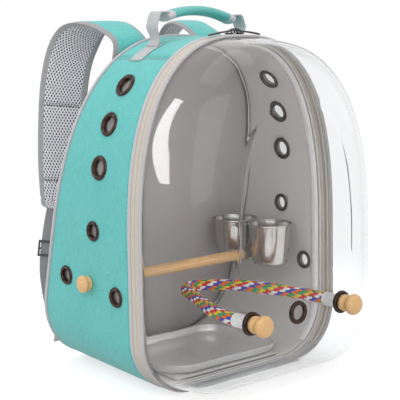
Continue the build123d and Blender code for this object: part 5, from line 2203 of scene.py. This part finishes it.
@dataclass
class Handle(Maker):
    """Carry handle: webbing necks, grey end sleeves and a padded grip."""

    half: float = 67 * MM
    grip_half: float = 54 * MM
    grip_z: float = 451.0 * MM
    grip_drop: float = 10.0 * MM
    grip_lean: float = 1.8 * MM
    webbing: tuple[Point, ...] = (
        *((-1, 0.4), (-0.9, 1), (-0.4, 1.15), (0.4, 1.15), (0.9, 1), (1, 0.4)),
        *((1, -0.4), (0.9, -1), (0.4, -0.85), (-0.4, -0.85), (-0.9, -1), (-1, -0.4)),
    )

    def build(self) -> None:
        """Builds the grip, its sleeves and the necks."""
        self._grip()
        self._sleeves()
        self._necks()

    def _arc(self, share: float) -> tuple[Vector, Vector]:
        """A point of the grip's middle line.

        Args:
            share: its place, from -1 to 1.

        Returns:
            The point and the upward direction there.
        """
        rise = self.grip_drop
        radius = (self.grip_half**2 + rise**2) / (2 * rise)
        turn = math.asin(self.grip_half / radius) * share
        low = self.grip_z - radius * (1 - math.cos(turn)) - self.grip_lean * share
        place = Vector((radius * math.sin(turn), HANDLE_Y, low))
        return place, Vector((math.sin(turn), 0, math.cos(turn)))

    def _tube(
        self, name: str, low: float, high: float, wide: float, tall: float, finish: str, node: str | None
    ) -> None:
        """Soft oval tube along part of the grip's arc.

        Args:
            name: the piece's name.
            low: where it starts along the arc, from -1 to 1.
            high: where it ends.
            wide: half of its width.
            tall: half of its height.
            finish: its material.
            node: the CAD node it stands for, for the padded grip.
        """
        made = Mesh(name)
        rows = []
        count = 60 if node else 10
        for step in range(count + 1):
            share = low + (high - low) * step / count
            place, up = self._arc(share)
            end = ease(min(step, count - step) / (count * 0.05)) if node else 1.0
            squeeze = 0.86 + 0.14 * end
            row = []
            for part in range(28):
                turn = math.tau * part / 28
                side = wide * squeeze * math.copysign(abs(math.cos(turn)) ** 0.8, math.cos(turn))
                lift = tall * squeeze * math.copysign(abs(math.sin(turn)) ** 0.85, math.sin(turn))
                spot = place + Vector((0, side, 0)) + up * lift
                crease = wave(Vector((spot.x * 0.6, spot.y, spot.z)), 14 * MM, 131.0) * 0.35 * MM
                row.append(spot + up * crease * (1 if math.sin(turn) > 0 else 0.6))
            rows.append(row)
        made.rows(rows, closed=True, capped=True)
        nodes = [node] if node else []
        slot = "teal_grip" if node else "grey_webbing"
        piece = self.piece(made, "handle", *nodes, slot=slot, dress=finish)

    def _grip(self) -> None:
        """Padded grip with a closing seam underneath."""
        self._tube("grip_tube", -0.82, 0.86, 12.6 * MM, 5.6 * MM, "teal_grip_cloth", "handle_grip")
        line, outs = [], []
        for step in range(30):
            place, up = self._arc(-0.76 + 1.52 * step / 29)
            line.append(place - up * 5.8 * MM + Vector((0, 3.0 * MM, 0)))
            outs.append(-up)
        self.thread("grip_stitches", "handle", [(line, outs)], "teal_thread")

    def _sleeves(self) -> None:
        """Grey sleeves over the grip's ends."""
        self._tube("grip_sleeve_left", -1.0, -0.8, 12.9 * MM, 5.7 * MM, "pale_grosgrain", None)
        self._tube("grip_sleeve_right", 0.84, 1.0, 12.9 * MM, 5.7 * MM, "pale_grosgrain", None)

    def _necks(self) -> None:
        """Webbing from the crown to the grip, pinched at the bottom and folded at the top."""
        made = Mesh("handle_necks")
        foot = ARCH.crown_z(self.half) + 1.6 * MM
        end = self._arc(0.0)[0].z - self.grip_drop
        shape = [
            (self.half + 6.0 * MM, foot - 2.0 * MM, 11.0 * MM, 0.0),
            (self.half + 1.5 * MM, foot + 1.4 * MM, 9.8 * MM, 0.4 * MM),
            (self.half - 0.4 * MM, foot + 5.5 * MM, 8.8 * MM, 0.6 * MM),
            (self.half + 1.2 * MM, foot + 11.5 * MM, 9.4 * MM, 0.2 * MM),
            (self.half + 4.2 * MM, foot + 18.0 * MM, 10.8 * MM, -0.4 * MM),
            (self.half + 3.8 * MM, foot + 24.0 * MM, 11.2 * MM, -0.6 * MM),
            (self.half - 0.8 * MM, end + 5.0 * MM, 11.0 * MM, -0.6 * MM),
            (self.grip_half + 5.0 * MM, end + 5.9 * MM, 10.9 * MM, 0.0),
            (self.grip_half - 3.0 * MM, end + 5.2 * MM, 10.8 * MM, 0.0),
        ]
        for side in Side:
            line = smoothed(shape, 8)
            rows = []
            for at, (x, z, wide, shift) in enumerate(line):
                ahead, behind = line[min(at + 1, len(line) - 1)], line[max(at - 1, 0)]
                along = Vector((ahead[0] - behind[0], 0, ahead[1] - behind[1])).normalized()
                out = Vector((along.z, 0, -along.x))
                ring = []
                for s, t in self.webbing:
                    cup = 1.2 * MM * (s * s - 0.5) * (1 if 0.1 < at / len(line) < 0.6 else 0.3)
                    spot = Vector((x, HANDLE_Y + shift + s * wide, z)) + out * (t * 0.9 * MM + cup)
                    tilt = side.value * self.grip_lean * max(z - foot, 0.0) / (end - foot)
                    ring.append(Vector((side.value * spot.x, spot.y, spot.z - tilt)))
                rows.append(ring)
            made.rows(rows, closed=True, capped=True)
        self.piece(made, "handle", "handle_webbing", slot="grey_webbing", dress="handle_webbing")


# ---- rope perch ----


@dataclass
class RopePerch(Maker):
    """Bendable perch of braided yarn over a wire core, held by the door at both ends."""

    route: tuple[tuple[float, float, float], ...] = (
        (-75, -88.5, 97),
        (-74.6, -70, 97.4),
        (-69, -46, 98),
        (-60, -20, 99),
        (-47, 8, 100),
        (-33, 44, 100),
        (-18, 70, 99),
        (4, 73, 99),
        (24, 53, 100),
        (41, 24, 101),
        (55, -12, 100),
        (66, -44, 99),
        (74.5, -70, 97.5),
        (75, -88.5, 97),
    )
    columns: int = 12
    pitch: float = 8.4 * MM
    stitch: float = 11.6 * MM
    radius: float = 6.35 * MM
    core: float = 5.7 * MM

    def _line(self) -> list[Vector]:
        """Points read from the route's smooth curve.

        Returns:
            Evenly spaced places along the rope's middle.
        """
        data = bpy.data.curves.new("perch_route", "CURVE")
        data.dimensions = "3D"
        data.resolution_u = 24
        spline = data.splines.new("NURBS")
        spline.points.add(len(self.route) - 1)
        for point, (x, y, z) in zip(spline.points, self.route):
            point.co = (x * MM, RIM_Y + y * MM, z * MM, 1.0)
        spline.order_u = 3
        spline.use_endpoint_u = True
        holder = bpy.data.objects.new("perch_route", data)
        bpy.context.scene.collection.objects.link(holder)
        graph = bpy.context.evaluated_depsgraph_get()
        mesh = bpy.data.meshes.new_from_object(holder.evaluated_get(graph))
        points = [v.co.copy() for v in mesh.vertices]
        bpy.data.objects.remove(holder)
        bpy.data.meshes.remove(mesh)
        bpy.data.curves.remove(data)
        return even(points, 260)

    def build(self) -> None:
        """Builds the core and the strands."""
        line = self._line()
        tangents = [(b - a).normalized() for a, b in zip(line[:1] + line, line[1:] + line[-1:])]
        normal = tangents[0].orthogonal().normalized()
        frames = []
        for tangent in tangents:
            normal = (normal - tangent * normal.dot(tangent)).normalized()
            frames.append((normal.copy(), tangent.cross(normal)))
        length = travelled(line)[-1]
        made = Mesh("rope_braid")
        core = [oval(place, a * self.core, b * self.core, 12) for place, (a, b) in zip(line, frames)]
        made.rows(core, closed=True, capped=True, slot=0)
        rounds = int(length / self.pitch) + 1
        for column in range(self.columns):
            for at in range(rounds):
                middle = (at + 0.5 + 0.4 * (column % 2)) * self.pitch
                rows = self._stitch(line, frames, length, middle, math.tau * column / self.columns)
                made.rows(rows, closed=True, capped=True, slot=1 + (at + column) % 6)
        bmesh.ops.recalc_face_normals(made.bm, faces=made.bm.faces)
        piece = made.finish("door", "rope_perch", slot="braided_cord")
        colours = ("yarn_red", "yarn_white", "yarn_blue", "yarn_orange", "yarn_green", "yarn_yellow")
        self.finishes.dress(piece, "yarn_core", *colours)

    def _stitch(
        self,
        line: list[Vector],
        frames: list[tuple[Vector, Vector]],
        length: float,
        middle: float,
        turn: float,
    ) -> list[list[Vector]]:
        """One lens-shaped stitch of the braid.

        Args:
            line: places along the rope's middle.
            frames: two directions across the rope at each place.
            length: the rope's length.
            middle: where the stitch lies along it.
            turn: where the stitch lies round it.

        Returns:
            Its rings of points.
        """
        rows = []
        for share in (-1.0, -0.82, -0.4, 0.15, 0.65, 0.95, 1.0):
            place = (middle + share * self.stitch / 2) / length * (len(line) - 1)
            place = min(max(place, 0.0), len(line) - 1.001)
            low = int(place)
            spot = line[low].lerp(line[low + 1], place - low)
            a, b = frames[low]
            angle = turn - 0.07 * share
            out = a * math.cos(angle) + b * math.sin(angle)
            side = b * math.cos(angle) - a * math.sin(angle)
            full = max(1 - share * share, 0.0) ** 0.6
            lift = self.radius + 0.2 * MM - 1.7 * MM * abs(share) ** 3
            wide = side * 1.85 * MM * (0.1 + 0.9 * full)
            rows.append(oval(spot + out * lift, wide, out * 1.05 * MM * (0.25 + 0.75 * full), 6))
        return rows


# ---- hard fittings ----


@dataclass
class Fittings(Maker):
    """Turned, pressed and moulded pieces that keep their frame shapes, and the zip's pulls."""

    materials: dict[str, tuple[str, ...]] = field(
        default_factory=lambda: {
            "copper_plate": ("side_eyelets_left", "side_eyelets_right", "door_eyelets"),
            "eyelet_screen": ("side_screens", "door_screen"),
            "dowel_wood": ("perch_dowel",),
            "knob_wood": ("perch_knob_left", "perch_knob_right", "rope_knob_left", "rope_knob_right"),
            "bracket_steel": ("perch_screws", "cup_bracket", "wing_nut", "rope_studs"),
            "cup_steel": ("cup_front", "cup_rear"),
            "tray_steel": ("tray",),
            "white_ferrule": ("rope_ferrules",),
            "stiffener_board": ("back_board", "floor_board"),
        }
    )

    def build(self) -> None:
        """Dresses the frame's own pieces and builds the pulls."""
        for finish, nodes in self.materials.items():
            for node in nodes:
                for slot in bpy.data.objects[node].material_slots:
                    slot.material = self.finishes.made[finish]
        for side in Side:
            self._slider(side)
            self._pull(side)

    def _slider(self, side: Side) -> None:
        """One zip slider: a low rounded body over the coils with a bridge for the pull.

        Args:
            side: which side.
        """
        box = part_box(f"zip_slider_{side.word}")
        low, high = Vector(box[0]), Vector(box[1])
        middle = (low + high) / 2
        long = (high.x - low.x) / 2 * 0.82
        made = Mesh(f"slider_body_{side.word}")
        rows = []
        for step in range(13):
            share = -1 + step / 6
            full = max(1 - abs(share) ** 3.2, 0.0) ** 0.5
            wide = 3.9 * MM * (0.35 + 0.65 * full)
            tall = 1.15 * MM * (0.3 + 0.7 * full)
            place = Vector((middle.x + long * share, middle.y, low.z + 1.6 * MM))
            rows.append(oval(place, Vector((0, wide, 0)), Vector((0, 0, tall)), 16, (0.6, 0.7)))
        made.rows(rows, closed=True, capped=True)
        pin_x = (low.x if side is Side.RIGHT else high.x) + side.value * 2.4 * MM
        for way in (-1, 1):
            rows = []
            for step in range(9):
                turn = math.pi * step / 8
                out = Vector((-math.cos(turn), 0, math.sin(turn)))
                place = Vector((pin_x, middle.y + way * 3.5 * MM, low.z + 2.2 * MM))
                place += Vector((out.x * 2.6 * MM, 0, out.z * 3.9 * MM))
                rows.append(oval(place, out * 0.6 * MM, Vector((0, 0.7 * MM, 0)), 8))
            made.rows(rows, closed=True, capped=True)
        node = f"zip_slider_{side.word}"
        self.piece(made, node, node, slot="black_pull", dress="black_zip_metal")

    def _pull(self, side: Side) -> None:
        """One zip pull: an eye on the slider's pin and a tongue that lies along the crown.

        Args:
            side: which side.
        """
        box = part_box(f"zip_pull_{side.word}")
        low, high = Vector(box[0]), Vector(box[1])
        inner = low.x if side is Side.RIGHT else high.x
        length = high.x - low.x
        middle_y = (low.y + high.y) / 2
        pin_z = (low.z + high.z) / 2
        shape = [(0.0, 0.0, 2.6), (0.06, 0.2, 2.7), (0.12, 1.0, 2.3), (0.2, 1.9, 2.3), (0.55, 3.4, 2.6)]
        shape += [(0.85, 5.1, 3.2), (0.95, 5.8, 3.0), (1.0, 6.2, 1.8)]
        rows = []
        for share, drop, wide in smoothed(shape, 4):
            x = inner + side.value * length * share
            thick = (1.15 + 0.6 * math.exp(-((share / 0.08) ** 2))) * MM
            place = Vector((x, middle_y, pin_z - drop * MM))
            rows.append(oval(place, Vector((0, wide * MM, 0)), Vector((0, 0, thick)), 12, (0.5, 1.0)))
        made = Mesh(f"pull_tab_{side.word}")
        made.rows(rows, closed=True, capped=True)
        node = f"zip_pull_{side.word}"
        self.piece(made, node, node, slot="black_pull", dress="black_zip_metal")


# ---- stage ----


@dataclass(frozen=True)
class Stage:
    """Pale floor, soft studio light and the camera."""

    lens: float = 102.57
    yaw: float = 0.712081
    pitch: float = 0.146201
    roll: float = -0.0178158
    offset: tuple[float, float, float] = (40.654 * MM, -216.417 * MM, 1438.403 * MM)

    def build(self) -> None:
        """Builds the floor, the world, the lamps and the camera."""
        self._floor()
        self._world()
        self._lamp("key_softbox", (-1.45, -1.55, 1.25), (0, -0.05, 0.22), (2.2, 2.2), 20.0)
        self._lamp("fill_softbox", (1.7, -1.3, 1.3), (0, 0, 0.2), (2.2, 2.2), 6.0)
        self._lamp("top_softbox", (0.0, 0.1, 2.2), (0, 0, 0.2), (1.8, 1.8), 12.0)
        self._lamp("strip_softbox", (-1.21, 1.105, 0.89), (-0.14, -0.15, 0.3), (0.1, 1.15), 5.0, 0.28)
        self._camera()

    def _floor(self) -> None:
        """A wide pale floor that catches the shadow."""
        bm = bmesh.new()
        bmesh.ops.create_grid(bm, x_segments=1, y_segments=1, size=30.0)
        floor = linked("floor", bm)
        pale = Surface("pale_floor")
        pale.set(Base_Color=(0.62, 0.62, 0.62), Roughness=0.8)
        self._whiten(pale)
        floor.data.materials.append(pale.material)

    @staticmethod
    def _whiten(pale: Surface) -> None:
        """Lifts the floor to the backdrop's white for the eye and for reflections, beyond the shadow.

        Args:
            pale: the floor's shader.
        """
        white = (1.0, 1.0, 1.0, 1.0)
        seen = pale.ray("Camera", "Glossy", "Transmission")
        x, y, _ = pale.split(pale.place())
        away = ((x * x + y * y) ** 0.5 - 0.3) / 0.5
        far = pale.add("ShaderNodeEmission", {}, {"Color": white, "Strength": 1.0})
        lift = pale.add("ShaderNodeEmission", {}, {"Color": white, "Strength": seen * 0.64})
        cloth = Wire(pale, pale.surface.links[0].from_socket)
        near = pale.add("ShaderNodeAddShader", {}, {0: cloth, 1: lift})
        mixed = pale.add("ShaderNodeMixShader", {}, {0: away.limit() * seen, 1: near, 2: far})
        pale.feed(pale.surface, mixed)

    def _world(self) -> None:
        """White surroundings for the eye and for reflections, and a plain soft light."""
        world = bpy.data.worlds.new("studio")
        bpy.context.scene.world = world
        world.use_nodes = True
        sky = Graph(world.node_tree, "World Output")
        white = (1.0, 1.0, 1.0, 1.0)
        lit = sky.add("ShaderNodeBackground", {}, {"Color": white, "Strength": 0.62})
        bright = sky.add("ShaderNodeBackground", {}, {"Color": white, "Strength": 1.0})
        seen = sky.ray("Camera", "Transmission", "Glossy")
        sky.feed(sky.surface, sky.add("ShaderNodeMixShader", {}, {0: seen, 1: lit, 2: bright}))

    @staticmethod
    def _lamp(
        name: str,
        place: Sequence[float],
        target: Sequence[float],
        size: tuple[float, float],
        watts: float,
        lean: float = 0.0,
    ) -> None:
        """One rectangular softbox.

        Args:
            name: its name.
            place: where it stands.
            target: what it is aimed at.
            size: its width and height.
            watts: its power.
            lean: its turn about its aim.
        """
        data = bpy.data.lights.new(name, "AREA")
        data.shape = "RECTANGLE"
        data.size, data.size_y = size
        data.energy = watts
        lamp = bpy.data.objects.new(name, data)
        lamp.location = place
        lamp.rotation_mode = "QUATERNION"
        aim = (Vector(target) - Vector(place)).to_track_quat("-Z", "Y")
        lamp.rotation_quaternion = aim @ Quaternion((0, 0, 1), lean)
        bpy.context.scene.collection.objects.link(lamp)

    def _camera(self) -> None:
        """The camera, from the left of the clear door and a little above it."""
        sin, cos = math.sin, math.cos
        look = Vector((sin(self.yaw) * cos(self.pitch), cos(self.yaw) * cos(self.pitch), -sin(self.pitch)))
        right = Vector((cos(self.yaw), -sin(self.yaw), 0))
        up = right.cross(look)
        c, s = cos(self.roll), sin(self.roll)
        turned_right = right * c + up * s
        turned_up = up * c - right * s
        tx, ty, tz = self.offset
        place = -(turned_right * tx + turned_up * ty + look * tz) + Vector((0, RIM_Y, 0))
        data = bpy.data.cameras.new("camera")
        data.lens = self.lens
        data.sensor_width = 36.0
        data.clip_start, data.clip_end = 0.05, 100.0
        camera = bpy.data.objects.new("camera", data)
        rotation = Matrix((turned_right, turned_up, -look)).transposed()
        camera.matrix_world = Matrix.Translation(place) @ rotation.to_4x4()
        bpy.context.scene.collection.objects.link(camera)
        bpy.context.scene.camera = camera


def main() -> None:
    """Builds the carrier and its stage."""
    logging.basicConfig(level=logging.INFO, format="%(name)s %(message)s")
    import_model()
    scene = bpy.context.scene
    scene.view_settings.view_transform = "Standard"
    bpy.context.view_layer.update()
    finishes = Finishes()
    for part in PARTS:
        part(finishes).build()
    Stage().build()


PARTS = (Shell, ZipBand, ClearDome, BackTrim, Straps, Handle, RopePerch, Fittings)

if __name__ == "__main__":
    main()
